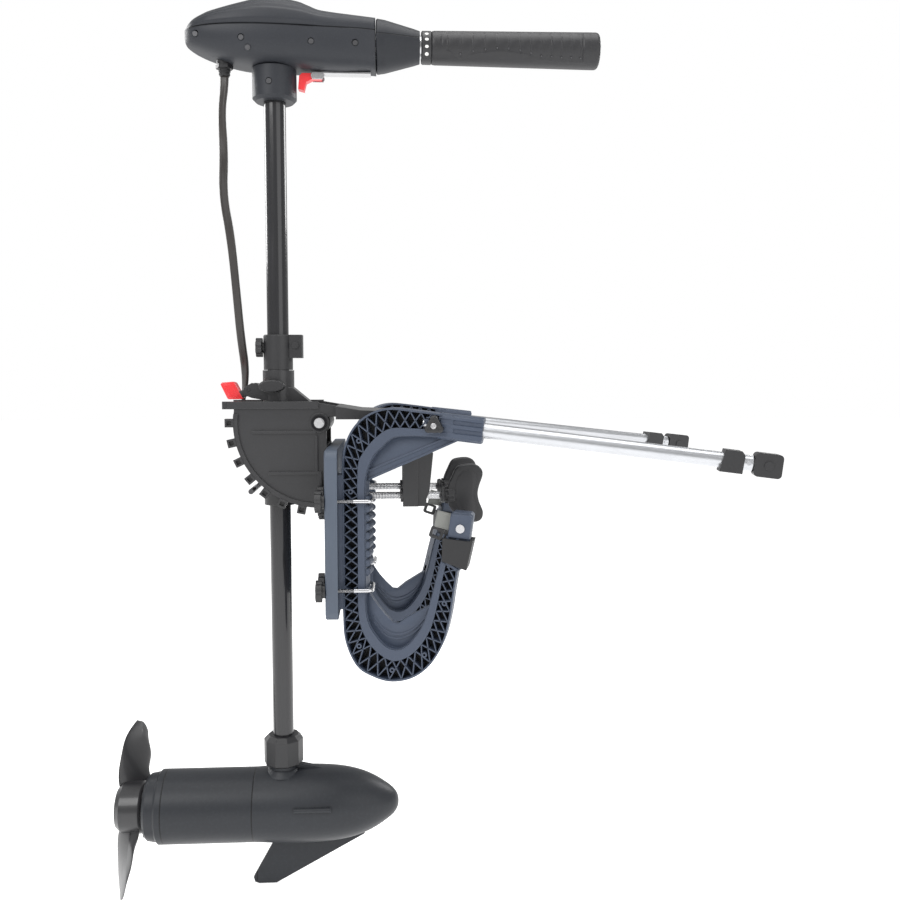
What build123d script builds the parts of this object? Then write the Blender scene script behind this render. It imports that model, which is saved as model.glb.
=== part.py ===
from build123d import *
import math
import os

os.makedirs("parts", exist_ok=True)

# Frame: X points to the bow, Y to port, Z up, in millimetres.
# The origin is the middle of the boat fitting that the two hook brackets close around.

# ---- anchors -------------------------------------------------------------------------
SHAFT_X = -165.0          # steering axis, behind the origin
MOTOR_Z = -408.0          # axis of the motor
PIVOT_X = SHAFT_X + 58.0  # tilt pivot
PIVOT_Z = 128.0
BRACKET_Z = 156.0         # top edge of the transom bracket

# ---- fits ----------------------------------------------------------------------------
RUN = 0.06                # running clearance, on the radius
SLIDE = 0.04              # sliding clearance, on the radius
SEAT = 0.15               # bolt or stud in a plain hole, on the radius
GAP = 0.5                 # free space between parts that do not touch
SOFT_GAP = 0.4            # free space around soft parts

# ---- shaft, hub and collar -----------------------------------------------------------
SHAFT_R = 14.3
SHAFT_WALL = 3.0
SHAFT_LEN = 914.4
SHAFT_FOOT_Z = -328.0
SHAFT_TOP_Z = SHAFT_FOOT_Z + SHAFT_LEN
HUB_R = SHAFT_R + 6.7
HUB_TOP_Z = 197.0
HUB_FOOT_Z = 15.0
COLLAR_R = SHAFT_R + 5.2
COLLAR_LEN = 47.0
PIVOT_R = 5.0

# ---- motor ---------------------------------------------------------------------------
MOTOR_R = 50.0
MOTOR_WALL = 2.5
TUBE_REAR = -161.0        # along X from the shaft axis
TUBE_FRONT = -39.0
CAP_LEN = 27.0
NOSE_TIP = 160.0
NUT_R = SHAFT_R + 11.2
NUT_LEN = 41.0
PROP_R = 117.0
PROP_HUB_R = 35.0
PROP_HUB_LEN = 38.0
ROTOR_R = 5.0

# ---- head and tiller -----------------------------------------------------------------
HEAD_Z = SHAFT_TOP_Z + 48.6   # parting plane of the covers
TILLER_Z = HEAD_Z - 10.5      # axis of the tiller
COVER_WALL = 3.0
NECK_REAR = 134.0         # along X from the shaft axis
NECK_FRONT = 192.0
NECK_R = 34.5
NECK_TIP_R = 20.5
TILLER_R = 15.0
TILLER_TRAVEL = 110.0
GRIP_LEN = 224.0
GRIP_R = 22.0
RING_LEN = 14.0

# ---- transom bracket -----------------------------------------------------------------
PLATE_IN = 42.0           # inner face of each quadrant plate, from the middle plane
PLATE_T = 6.0
QUAD_R = 112.0            # quadrant rim, about the tilt pivot
TOOTH_STEP = 13.0
TOOTH_SIZE = 11.0
CLAMP_Y = 52.0
CLAMP_Z = 32.0
CLAMP_R = 5.0
PAD_R = 11.0
ARM_X = 2.0               # rear face of the clamp arms
ARM_T = 20.0

# ---- mount board and hook brackets ---------------------------------------------------
BOARD_X = -97.0           # rear face
BOARD_T = 16.0
BOARD_HALF = 118.0
BOARD_TOP_Z = 97.0
BOARD_FOOT_Z = -120.0
HOOK_X = -65.0            # turning point of each hook bracket's plane
HOOK_Y = 88.0
TOE = 11.0
HOOK_T = 30.0
POLE_R = 9.75
POLE_DROP = 6.5
POLE_LEN = 404.0
UBOLT_R = 2.5
UBOLT_HALF = 22.5
UBOLT_Z = (32.0, -82.0)

# ---- battery cable -------------------------------------------------------------------
CORD_R = 4.5              # the flat lead as a round one of like section
COIL_R = 57.0             # middle of the stowed turns
COIL_WALL = 8.0
COIL_T = 36.0
COIL_X = SHAFT_X - 7.0
COIL_Z = 100.0
COIL_Y = 79.0


def side(x, z, y=0.0):
    """Plane seen from starboard: local x is X, local y is Z, normal -Y."""
    return Plane(origin=(x, y, z), x_dir=(1, 0, 0), z_dir=(0, -1, 0))


def facing(x, z, y=0.0):
    """Plane across the length: local x is Y, local y is Z, normal +X."""
    return Plane(origin=(x, y, z), x_dir=(0, 1, 0), z_dir=(1, 0, 0))


def level(z, x=0.0, y=0.0):
    return Plane(origin=(x, y, z))


def hook_plane(sgn, off=0.0):
    """Plane of a hook bracket; sgn is +1 to port and -1 to starboard."""
    t = math.radians(TOE)
    n = (sgn * math.sin(t), -math.cos(t), 0)
    o = (HOOK_X + off * n[0], sgn * HOOK_Y + off * n[1], 0)
    return Plane(origin=o, x_dir=(math.cos(t), sgn * math.sin(t), 0), z_dir=n)


# ======================================================================================
# shaft and head
# ======================================================================================
with BuildPart() as shaft_tube:
    with BuildSketch(level(SHAFT_FOOT_Z, SHAFT_X)):
        Circle(SHAFT_R)
        Circle(SHAFT_R - SHAFT_WALL, mode=Mode.SUBTRACT)
    extrude(amount=SHAFT_LEN)
shaft_tube.part.label = "shaft_tube"
export_step(shaft_tube.part, "parts/shaft_tube.step")

def half_oval(w, h, n, steps=8):
    """Points of a half superellipse of half width w and height h, from -w to w."""
    pts = []
    for i in range(steps + 1):
        a = math.pi * (1 - i / steps)
        c, s = math.cos(a), math.sin(a)
        pts.append((math.copysign(abs(c) ** (2 / n), c) * w, abs(s) ** (2 / n) * h))
    return pts


def cover_solid(stations, n, up, shrink):
    """Closed half shell of the head, lofted along X through superellipse sections."""
    with BuildPart() as p:
        for x, w, h in stations:
            ww, hh = w - shrink, h - shrink
            with BuildSketch(facing(SHAFT_X + x, HEAD_Z)):
                with BuildLine():
                    Spline(*[(a, up * b) for a, b in half_oval(ww, hh, n)])
                    Line((-ww, 0), (ww, 0))
                make_face()
        loft()
    return p.part


HEAD_HALF = 48.0
UPPER = ((-113, 14, 5), (-100, 30, 16), (-75, 41, 27), (-40, HEAD_HALF - 1, 37), (-5, HEAD_HALF, 45),
         (30, HEAD_HALF - 2, 41), (60, HEAD_HALF - 5, 30), (100, 40, 25), (NECK_REAR, NECK_R - 1, 22.5))
LOWER = ((-113, 14, 15), (-100, 30, 23), (-75, 41, 32), (-40, HEAD_HALF - 1, 40), (0, HEAD_HALF, 43),
         (60, HEAD_HALF - 5, 44.5), (100, 40, 45), (NECK_REAR, NECK_R - 1, 45))

with BuildPart() as head_upper_cover:
    add(cover_solid(UPPER, 2.5, 1, 0))
    inner = ((-109, 14, 5.5),) + UPPER[1:-1] + ((NECK_REAR - COVER_WALL, NECK_R - 1, 23),)
    add(cover_solid(inner, 2.5, 1, COVER_WALL), mode=Mode.SUBTRACT)
    # crease strips along the crown
    for y in (-13, 13):
        with BuildSketch(side(SHAFT_X, HEAD_Z, y)):
            with BuildLine():
                Spline((-66, 31.5), (-5, 43.6), (60, 27.0), (120, 20.5))
                Spline((-66, 28.5), (-5, 40.6), (60, 24.0), (120, 18.5))
                Line((-66, 31.5), (-66, 28.5))
                Line((120, 20.5), (120, 18.5))
            make_face()
        extrude(amount=2.0, both=True)
    # passage of the tiller tube
    with BuildSketch(facing(SHAFT_X + NECK_REAR - 2 * COVER_WALL, TILLER_Z)):
        Circle(TILLER_R + GAP)
    extrude(amount=4 * COVER_WALL, mode=Mode.SUBTRACT)
head_upper_cover.part.label = "head_upper_cover"
export_step(head_upper_cover.part, "parts/head_upper_cover.step")

SCREW_R = 1.5
SCREW_HEAD_R = 3.3
POCKET = 1.6              # depth of the screw pockets
# along X from the shaft, below the parting plane, and the half width of the head there
SCREWS = ((-96.0, 9.0, 32.5), (-36.0, 17.0, 46.8), (-28.0, 29.0, 45.6), (52.0, 19.0, 43.6), (108.0, 18.0, 38.0),
          (-4.0, 65.0, 29.0))
SOCKET_R = SHAFT_R + 14.7
SOCKET_FOOT_Z = HEAD_Z - 85.0
GLAND_X = SHAFT_X - 65.0
GLAND_R = 10.0
GLAND_TOP_Z = HEAD_Z - 23.0
with BuildPart() as head_lower_cover:
    add(cover_solid(LOWER, 3.2, -1, 0))
    # shaft socket under the head
    with BuildSketch(level(SOCKET_FOOT_Z, SHAFT_X)):
        Circle(SOCKET_R)
    extrude(amount=HEAD_Z - SOCKET_FOOT_Z - 43.0)
    chamfer(head_lower_cover.edges().group_by(Axis.Z)[0], length=4.0)
    inner = ((-109, 14, 16),) + LOWER[1:-1] + ((NECK_REAR - COVER_WALL, NECK_R - 1, 46),)
    add(cover_solid(inner, 3.2, -1, COVER_WALL), mode=Mode.SUBTRACT)
    # bore for the shaft
    with BuildSketch(level(SOCKET_FOOT_Z, SHAFT_X)):
        Circle(SHAFT_R + SEAT)
    extrude(amount=60.0, mode=Mode.SUBTRACT)
    # seat of the cable gland
    with BuildSketch(level(SOCKET_FOOT_Z, GLAND_X)):
        Circle(GLAND_R + SEAT)
    extrude(amount=80.0, mode=Mode.SUBTRACT)
    # pockets and holes of the screws
    for x, z, y in SCREWS:
        for sgn in (-1, 1):
            with BuildSketch(side(SHAFT_X + x, HEAD_Z - z, sgn * (y - POCKET))):
                Circle(SCREW_HEAD_R + 1.2)
            extrude(amount=-sgn * 8.0, mode=Mode.SUBTRACT)
            with BuildSketch(side(SHAFT_X + x, HEAD_Z - z, sgn * (y - POCKET))):
                Circle(SCREW_R + SEAT)
            extrude(amount=sgn * 9.0, mode=Mode.SUBTRACT)
    # passage of the tiller tube into the head
    with BuildSketch(facing(SHAFT_X + NECK_REAR - 2 * COVER_WALL, TILLER_Z)):
        Circle(TILLER_R + GAP)
    extrude(amount=4 * COVER_WALL, mode=Mode.SUBTRACT)
head_lower_cover.part.label = "head_lower_cover"
export_step(head_lower_cover.part, "parts/head_lower_cover.step")

with BuildPart() as cover_screws:
    for x, z, y in SCREWS:
        for sgn in (-1, 1):
            with BuildSketch(side(SHAFT_X + x, HEAD_Z - z, sgn * (y - POCKET))):
                Circle(SCREW_HEAD_R)
            extrude(amount=-sgn * (POCKET - 0.4))
            with BuildSketch(side(SHAFT_X + x, HEAD_Z - z, sgn * (y - POCKET))):
                Circle(SCREW_R)
            extrude(amount=sgn * 7.0)
cover_screws.part.label = "cover_screws"
export_step(cover_screws.part, "parts/cover_screws.step")

TILLER_AXIS = Axis((0, 0, TILLER_Z), (1, 0, 0))
with BuildPart() as tiller_neck:
    with BuildSketch(side(SHAFT_X, TILLER_Z)):
        with BuildLine():
            Polyline((NECK_REAR + GAP, 0), (NECK_REAR + GAP, NECK_R - 1.5), (NECK_REAR + 2, NECK_R),
                     (NECK_REAR + 12, NECK_R - 1.5), (NECK_FRONT - 8, NECK_TIP_R + 2.5),
                     (NECK_FRONT, NECK_TIP_R), (NECK_FRONT, 0), close=True)
        make_face()
    revolve(axis=TILLER_AXIS)
    with BuildSketch(facing(SHAFT_X + NECK_REAR, TILLER_Z)):
        Circle(TILLER_R + SLIDE)
    extrude(amount=NECK_FRONT - NECK_REAR + 1, mode=Mode.SUBTRACT)
tiller_neck.part.label = "tiller_neck"
export_step(tiller_neck.part, "parts/tiller_neck.step")

with BuildPart() as cable_gland:
    with BuildSketch(level(GLAND_TOP_Z - 18.0, GLAND_X)):
        Circle(GLAND_R)
    extrude(amount=16.0)
    with BuildSketch(level(GLAND_TOP_Z - 20.0, GLAND_X)):
        RegularPolygon(GLAND_R + 1.5, 6)
    extrude(amount=5.0)
    with BuildSketch(level(GLAND_TOP_Z - 21.0, GLAND_X)):
        Circle(CORD_R + SOFT_GAP)
    extrude(amount=22.0, mode=Mode.SUBTRACT)
cable_gland.part.label = "cable_gland"
export_step(cable_gland.part, "parts/cable_gland.step")

TUBE_REAR_X = SHAFT_X + 50.0
GRIP_REAR_X = SHAFT_X + NECK_FRONT + 2.0
GRIP_END_X = GRIP_REAR_X + RING_LEN + GRIP_LEN
ROD_R = 3.0
TUBE_END_X = GRIP_END_X - 26.0
with BuildPart() as tiller_tube:
    with BuildSketch(facing(TUBE_REAR_X, TILLER_Z)):
        Circle(TILLER_R)
        Circle(TILLER_R - 2.0, mode=Mode.SUBTRACT)
    extrude(amount=TUBE_END_X - TUBE_REAR_X)
tiller_tube.part.label = "tiller_tube"
export_step(tiller_tube.part, "parts/tiller_tube.step")

with BuildPart() as throttle_rod:
    with BuildSketch(facing(SHAFT_X - 80.0, TILLER_Z)):
        Circle(ROD_R)
    extrude(amount=GRIP_END_X - 12.0 - SHAFT_X + 80.0)
throttle_rod.part.label = "throttle_rod"
export_step(throttle_rod.part, "parts/throttle_rod.step")

with BuildPart() as speed_switch:
    with BuildSketch(facing(SHAFT_X + 12.0, TILLER_Z)):
        RectangleRounded(40.0, 34.0, 3.0)
        Circle(ROD_R + RUN, mode=Mode.SUBTRACT)
    extrude(amount=30.0)
speed_switch.part.label = "speed_switch"
export_step(speed_switch.part, "parts/speed_switch.step")

# the grip turns on the tiller tube; ring, grip, end cap and rod turn as one
with BuildPart() as grip_speed_ring:
    with BuildSketch(facing(GRIP_REAR_X, TILLER_Z)):
        Circle(GRIP_R - 1.0)
        Circle(TILLER_R + RUN, mode=Mode.SUBTRACT)
    extrude(amount=RING_LEN)
    chamfer(grip_speed_ring.edges().filter_by(GeomType.CIRCLE).group_by(SortBy.RADIUS)[-1], length=1.5)
grip_speed_ring.part.label = "grip_speed_ring"
export_step(grip_speed_ring.part, "parts/grip_speed_ring.step")

GRIP_X = GRIP_REAR_X + RING_LEN
CAP_BAND = 14.0
GRIP_RIBS = 13
with BuildPart() as throttle_grip:
    with BuildSketch(side(0, TILLER_Z)):
        with BuildLine():
            Polyline((GRIP_X, TILLER_R + RUN), (GRIP_X, GRIP_R - 1.5), (GRIP_X + 2, GRIP_R - 0.5),
                     (GRIP_END_X - CAP_BAND, GRIP_R + 1.5), (GRIP_END_X - CAP_BAND, TILLER_R + RUN),
                     close=True)
        make_face()
    revolve(axis=TILLER_AXIS)
    # finger ribs around the lower half
    for i in range(GRIP_RIBS):
        x = GRIP_X + CAP_BAND + i * (GRIP_LEN - 50.0) / (GRIP_RIBS - 1)
        with BuildSketch(facing(x, TILLER_Z)):
            with BuildLine():
                CenterArc((0, 0), GRIP_R + 1.7, 180, 180)
                Line((-GRIP_R - 1.7, 0), (GRIP_R + 1.7, 0))
            make_face()
            Circle(GRIP_R - 3.0, mode=Mode.SUBTRACT)
        extrude(amount=4.0)
throttle_grip.part.label = "throttle_grip"
export_step(throttle_grip.part, "parts/throttle_grip.step")

with BuildPart() as grip_end_cap:
    with BuildSketch(facing(GRIP_END_X - CAP_BAND, TILLER_Z)):
        Circle(GRIP_R + 1.5)
    extrude(amount=CAP_BAND)
    fillet(grip_end_cap.edges().group_by(Axis.X)[-1], radius=5.0)
    with BuildSketch(facing(GRIP_END_X - CAP_BAND, TILLER_Z)):
        Circle(ROD_R)
    extrude(amount=2.0, mode=Mode.SUBTRACT)
grip_end_cap.part.label = "grip_end_cap"
export_step(grip_end_cap.part, "parts/grip_end_cap.step")

# sprung trigger under the head, hung from the ears of the latch strip
TRIG_X = SHAFT_X + SOCKET_R + 28.0
TRIG_Z = HEAD_Z - 51.0
PIN_R = 1.5
with BuildPart() as tiller_trigger:
    with BuildSketch(side(TRIG_X, TRIG_Z)):
        with BuildLine():
            Polyline((5, 3.5), (-20, 3.5), (-24, 0), (-25.5, -17), (-18, -19), (-15, -8), (-6, -3.5),
                     (5, -3.5), close=True)
        make_face()
        Circle(PIN_R + RUN, mode=Mode.SUBTRACT)
    extrude(amount=6.0, both=True)
tiller_trigger.part.label = "tiller_trigger"
export_step(tiller_trigger.part, "parts/tiller_trigger.step")

with BuildPart() as tiller_latch_strip:
    with BuildSketch(level(TRIG_Z + 3.2, TRIG_X + 38.0)):
        Rectangle(64.0, 16.0)
    extrude(amount=2.3)
    for sgn in (-1, 1):
        with BuildSketch(side(TRIG_X, TRIG_Z, sgn * 7.5)):
            SlotCenterToCenter(8.0, 9.0)
            Rectangle(14, 9)
        extrude(amount=1.0, both=True)
    with BuildSketch(side(TRIG_X, TRIG_Z, -8.5)):
        Circle(PIN_R)
    extrude(amount=-17.0)
tiller_latch_strip.part.label = "tiller_latch_strip"
export_step(tiller_latch_strip.part, "parts/tiller_latch_strip.step")

with BuildPart() as motor_leads:
    for y in (-4.0, 4.0):
        with BuildSketch(level(SHAFT_FOOT_Z - 20.0, SHAFT_X, y)):
            Circle(2.2)
        extrude(amount=SHAFT_LEN + 34.0)
motor_leads.part.label = "motor_leads"
export_step(motor_leads.part, "parts/motor_leads.step")

# ======================================================================================
# motor
# ======================================================================================
MOTOR_AXIS = Axis((0, 0, MOTOR_Z), (1, 0, 0))
IN_R = MOTOR_R - MOTOR_WALL
with BuildPart() as motor_tube:
    with BuildSketch(facing(SHAFT_X + TUBE_REAR, MOTOR_Z)):
        Circle(MOTOR_R)
        Circle(IN_R, mode=Mode.SUBTRACT)
    extrude(amount=TUBE_FRONT - TUBE_REAR)
motor_tube.part.label = "motor_tube"
export_step(motor_tube.part, "parts/motor_tube.step")

BOSS_R = SHAFT_R + 4.7
BOSS_TOP_Z = -349.0
SKEG_T = 6.0
with BuildPart() as motor_nose_housing:
    with BuildSketch(side(SHAFT_X, MOTOR_Z)):
        with BuildLine():
            Polyline((TUBE_FRONT - 8, 0), (TUBE_FRONT - 8, IN_R - SEAT), (TUBE_FRONT, IN_R - SEAT),
                     (TUBE_FRONT, MOTOR_R))
            Spline((TUBE_FRONT, MOTOR_R), (40, MOTOR_R + 2), (80, 49), (116, 39.5), (144, 24),
                   (NOSE_TIP, 0), tangents=[(1, 0.05), (0, -1)])
            Line((NOSE_TIP, 0), (TUBE_FRONT - 8, 0))
        make_face()
    revolve(axis=MOTOR_AXIS)
    # boss that takes the shaft
    with BuildSketch(level(MOTOR_Z + 20.0, SHAFT_X)):
        Circle(BOSS_R)
    extrude(amount=BOSS_TOP_Z - MOTOR_Z - 20.0)
    with BuildSketch(level(BOSS_TOP_Z - 14.0, SHAFT_X)):
        Circle(BOSS_R + 8)
    extrude(amount=8.0, taper=40)
    # fairing ridge ahead of the boss
    with BuildSketch(side(SHAFT_X, MOTOR_Z)):
        with BuildLine():
            Polyline((10, 40), (10, 58), (22, 58.5), (60, 50), (60, 40), close=True)
        make_face()
    extrude(amount=4.0, both=True)
    # skeg
    with BuildSketch(side(SHAFT_X, MOTOR_Z)):
        with BuildLine():
            Polyline((-16, -44), (-14, -51), (-44, -105), (-42, -112), (-36, -114), (-12, -114),
                     (112, -46), (100, -40), close=True)
        make_face()
    extrude(amount=SKEG_T / 2, both=True)
    # side flutes
    for sgn in (-1, 1):
        with BuildSketch(facing(SHAFT_X + 18.0, MOTOR_Z)):
            with Locations((sgn * (MOTOR_R + 2.0), 12.0)):
                Circle(3.0)
        extrude(amount=50.0)
    # armature chamber and shaft passage
    with BuildSketch(facing(SHAFT_X + TUBE_FRONT - 8, MOTOR_Z)):
        Circle(IN_R - 5.0)
    extrude(amount=14.0, mode=Mode.SUBTRACT)
    with BuildSketch(facing(SHAFT_X + TUBE_FRONT - 8, MOTOR_Z)):
        Circle(11.0 + SLIDE)
    extrude(amount=30.0, mode=Mode.SUBTRACT)
    with BuildSketch(level(SHAFT_FOOT_Z - 0.5, SHAFT_X)):
        Circle(SHAFT_R + SEAT)
    extrude(amount=40.0, mode=Mode.SUBTRACT)
    with BuildSketch(level(MOTOR_Z + 15.0, SHAFT_X)):
        Circle(SHAFT_R - SHAFT_WALL)
    extrude(amount=SHAFT_FOOT_Z - MOTOR_Z, mode=Mode.SUBTRACT)
motor_nose_housing.part.label = "motor_nose_housing"
export_step(motor_nose_housing.part, "parts/motor_nose_housing.step")

CAP_REAR_X = SHAFT_X + TUBE_REAR - CAP_LEN
BEARING_R = 11.0
with BuildPart() as motor_end_cap:
    with BuildSketch(side(SHAFT_X + TUBE_REAR, MOTOR_Z)):
        with BuildLine():
            Polyline((8, 0), (8, IN_R - SEAT), (0, IN_R - SEAT), (0, MOTOR_R), (-8, MOTOR_R),
                     (-11, MOTOR_R - 3), (-CAP_LEN + 4, MOTOR_R - 5), (-CAP_LEN, MOTOR_R - 9),
                     (-CAP_LEN, 0), close=True)
        make_face()
    revolve(axis=MOTOR_AXIS)
    with BuildSketch(facing(CAP_REAR_X, MOTOR_Z)):
        Circle(ROTOR_R + 0.5)
    extrude(amount=CAP_LEN + 9, mode=Mode.SUBTRACT)
    with BuildSketch(facing(CAP_REAR_X, MOTOR_Z)):
        Circle(BEARING_R + SLIDE)
    extrude(amount=8.0, mode=Mode.SUBTRACT)
    with BuildSketch(facing(SHAFT_X + TUBE_REAR - 4, MOTOR_Z)):
        Circle(BEARING_R + SLIDE)
    extrude(amount=12.0, mode=Mode.SUBTRACT)
    for a in (60, 240):
        with BuildSketch(facing(CAP_REAR_X, MOTOR_Z)):
            with PolarLocations(MOTOR_R - 13.0, 1, start_angle=a):
                Circle(2.0 + SEAT)
        extrude(amount=CAP_LEN + 9, mode=Mode.SUBTRACT)
motor_end_cap.part.label = "motor_end_cap"
export_step(motor_end_cap.part, "parts/motor_end_cap.step")

with BuildPart() as motor_through_bolts:
    for a in (60, 240):
        with BuildSketch(facing(CAP_REAR_X - 3.0, MOTOR_Z)):
            with PolarLocations(MOTOR_R - 13.0, 1, start_angle=a):
                Circle(3.6)
        extrude(amount=3.0)
        with BuildSketch(facing(CAP_REAR_X, MOTOR_Z)):
            with PolarLocations(MOTOR_R - 13.0, 1, start_angle=a):
                Circle(2.0)
        extrude(amount=CAP_LEN + 14.0)
motor_through_bolts.part.label = "motor_through_bolts"
export_step(motor_through_bolts.part, "parts/motor_through_bolts.step")

MAG_X = SHAFT_X - 128.0
MAG_LEN = 66.0
with BuildPart() as field_magnets:
    for a in (-60, 120):
        with BuildSketch(facing(MAG_X, MOTOR_Z)):
            with BuildLine():
                CenterArc((0, 0), IN_R - SEAT, a, 120)
                CenterArc((0, 0), IN_R - 9.0, a, 120)
                for b in (a, a + 120):
                    c, s = math.cos(math.radians(b)), math.sin(math.radians(b))
                    Line((c * (IN_R - SEAT), s * (IN_R - SEAT)), (c * (IN_R - 9.0), s * (IN_R - 9.0)))
            make_face()
        extrude(amount=MAG_LEN)
field_magnets.part.label = "field_magnets"
export_step(field_magnets.part, "parts/field_magnets.step")

with BuildPart() as motor_bearings:
    for x in (SHAFT_X + TUBE_REAR - 4.0, SHAFT_X + TUBE_FRONT - 7.0):
        with BuildSketch(facing(x, MOTOR_Z)):
            Circle(BEARING_R)
            Circle(ROTOR_R + RUN, mode=Mode.SUBTRACT)
        extrude(amount=10.0)
motor_bearings.part.label = "motor_bearings"
export_step(motor_bearings.part, "parts/motor_bearings.step")

with BuildPart() as shaft_seal:
    with BuildSketch(facing(CAP_REAR_X + 0.5, MOTOR_Z)):
        Circle(BEARING_R)
        Circle(ROTOR_R + 0.3, mode=Mode.SUBTRACT)
    extrude(amount=7.0)
shaft_seal.part.label = "shaft_seal"
export_step(shaft_seal.part, "parts/shaft_seal.step")

COMM_X = SHAFT_X - 58.0
COMM_R = 13.0
with BuildPart() as brush_gear:
    with BuildSketch(facing(COMM_X + 4.0, MOTOR_Z)):
        Circle(IN_R - SEAT)
        Circle(COMM_R + 6.0, mode=Mode.SUBTRACT)
    extrude(amount=3.0)
    # one brush on each side of the commutator
    for sgn in (-1, 1):
        with BuildSketch(facing(COMM_X + 3.0, MOTOR_Z)):
            with Locations((sgn * (COMM_R + 8.0), 0)):
                Rectangle(15.0, 7.0)
        extrude(amount=7.0)
brush_gear.part.label = "brush_gear"
export_step(brush_gear.part, "parts/brush_gear.step")

with BuildPart() as armature:
    with BuildSketch(facing(MAG_X + 3.0, MOTOR_Z)):
        Circle(IN_R - 11.0)
        with PolarLocations(IN_R - 14.0, 12):
            Rectangle(9.0, 3.0, mode=Mode.SUBTRACT)
        Circle(ROTOR_R, mode=Mode.SUBTRACT)
    extrude(amount=MAG_LEN - 8.0)
armature.part.label = "armature"
export_step(armature.part, "parts/armature.step")

with BuildPart() as commutator:
    with BuildSketch(facing(COMM_X, MOTOR_Z)):
        Circle(COMM_R)
        Circle(ROTOR_R, mode=Mode.SUBTRACT)
    extrude(amount=11.0)
commutator.part.label = "commutator"
export_step(commutator.part, "parts/commutator.step")

PROP_X = CAP_REAR_X - 3.5 - PROP_HUB_LEN
with BuildPart() as propeller_shaft:
    with BuildSketch(facing(PROP_X + 2.0, MOTOR_Z)):
        Circle(ROTOR_R)
    extrude(amount=SHAFT_X + TUBE_FRONT + 2.0 - PROP_X)
propeller_shaft.part.label = "propeller_shaft"
export_step(propeller_shaft.part, "parts/propeller_shaft.step")

PROP_TURN = 30.0          # turn of the blades from upright at rest
BLADE_MID_X = PROP_X + PROP_HUB_LEN / 2 - 1.0
BLADE = ((26.0, 40.0, 52.0, 7.0), (45.0, 50.0, 45.0, 6.0), (75.0, 54.0, 33.0, 4.6),
         (100.0, 42.0, 26.0, 3.4), (PROP_R, 16.0, 22.0, 2.0))


def blade(turn):
    """One propeller blade; stations are radius, chord, pitch from the disc and thickness."""
    a = math.radians(turn)
    out = (0, math.sin(a), math.cos(a))
    across = (0, math.cos(a), -math.sin(a))
    with BuildPart() as p:
        for r, chord, pitch, thick in BLADE:
            b = math.radians(pitch)
            x_dir = (math.sin(b), across[1] * math.cos(b), across[2] * math.cos(b))
            org = (BLADE_MID_X, out[1] * r, MOTOR_Z + out[2] * r)
            with BuildSketch(Plane(origin=org, x_dir=x_dir, z_dir=out)):
                Ellipse(chord / 2, thick / 2)
        loft()
    return p.part


with BuildPart() as propeller:
    with BuildSketch(side(PROP_X, MOTOR_Z)):
        with BuildLine():
            Polyline((PROP_HUB_LEN, 0), (PROP_HUB_LEN, PROP_HUB_R - 2), (PROP_HUB_LEN - 3, PROP_HUB_R),
                     (9, PROP_HUB_R - 1), (2, PROP_HUB_R - 7), (0, PROP_HUB_R - 14), (0, 0), close=True)
        make_face()
    revolve(axis=MOTOR_AXIS)
    add(blade(PROP_TURN))
    add(blade(PROP_TURN + 180.0))
    with BuildSketch(facing(PROP_X, MOTOR_Z)):
        Circle(ROTOR_R)
    extrude(amount=PROP_HUB_LEN, mode=Mode.SUBTRACT)
    with BuildSketch(facing(PROP_X, MOTOR_Z)):
        Circle(12.0)
    extrude(amount=8.0, mode=Mode.SUBTRACT)
propeller.part.label = "propeller"
export_step(propeller.part, "parts/propeller.step")

with BuildPart() as propeller_nut:
    with BuildSketch(facing(PROP_X + 1.0, MOTOR_Z)):
        RegularPolygon(9.0, 6)
        Circle(ROTOR_R, mode=Mode.SUBTRACT)
    extrude(amount=7.0)
propeller_nut.part.label = "propeller_nut"
export_step(propeller_nut.part, "parts/propeller_nut.step")

NUT_FOOT_Z = BOSS_TOP_Z + GAP
with BuildPart() as shaft_nut:
    with BuildSketch(level(NUT_FOOT_Z, SHAFT_X)):
        RegularPolygon(NUT_R + 1.5, 10)
    extrude(amount=NUT_LEN)
    chamfer(shaft_nut.edges().group_by(Axis.Z)[-1], length=6.0)
    chamfer(shaft_nut.edges().group_by(Axis.Z)[0], length=2.0)
    with BuildSketch(level(NUT_FOOT_Z, SHAFT_X)):
        Circle(SHAFT_R + SEAT)
    extrude(amount=NUT_LEN, mode=Mode.SUBTRACT)
shaft_nut.part.label = "shaft_nut"
export_step(shaft_nut.part, "parts/shaft_nut.step")

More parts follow.
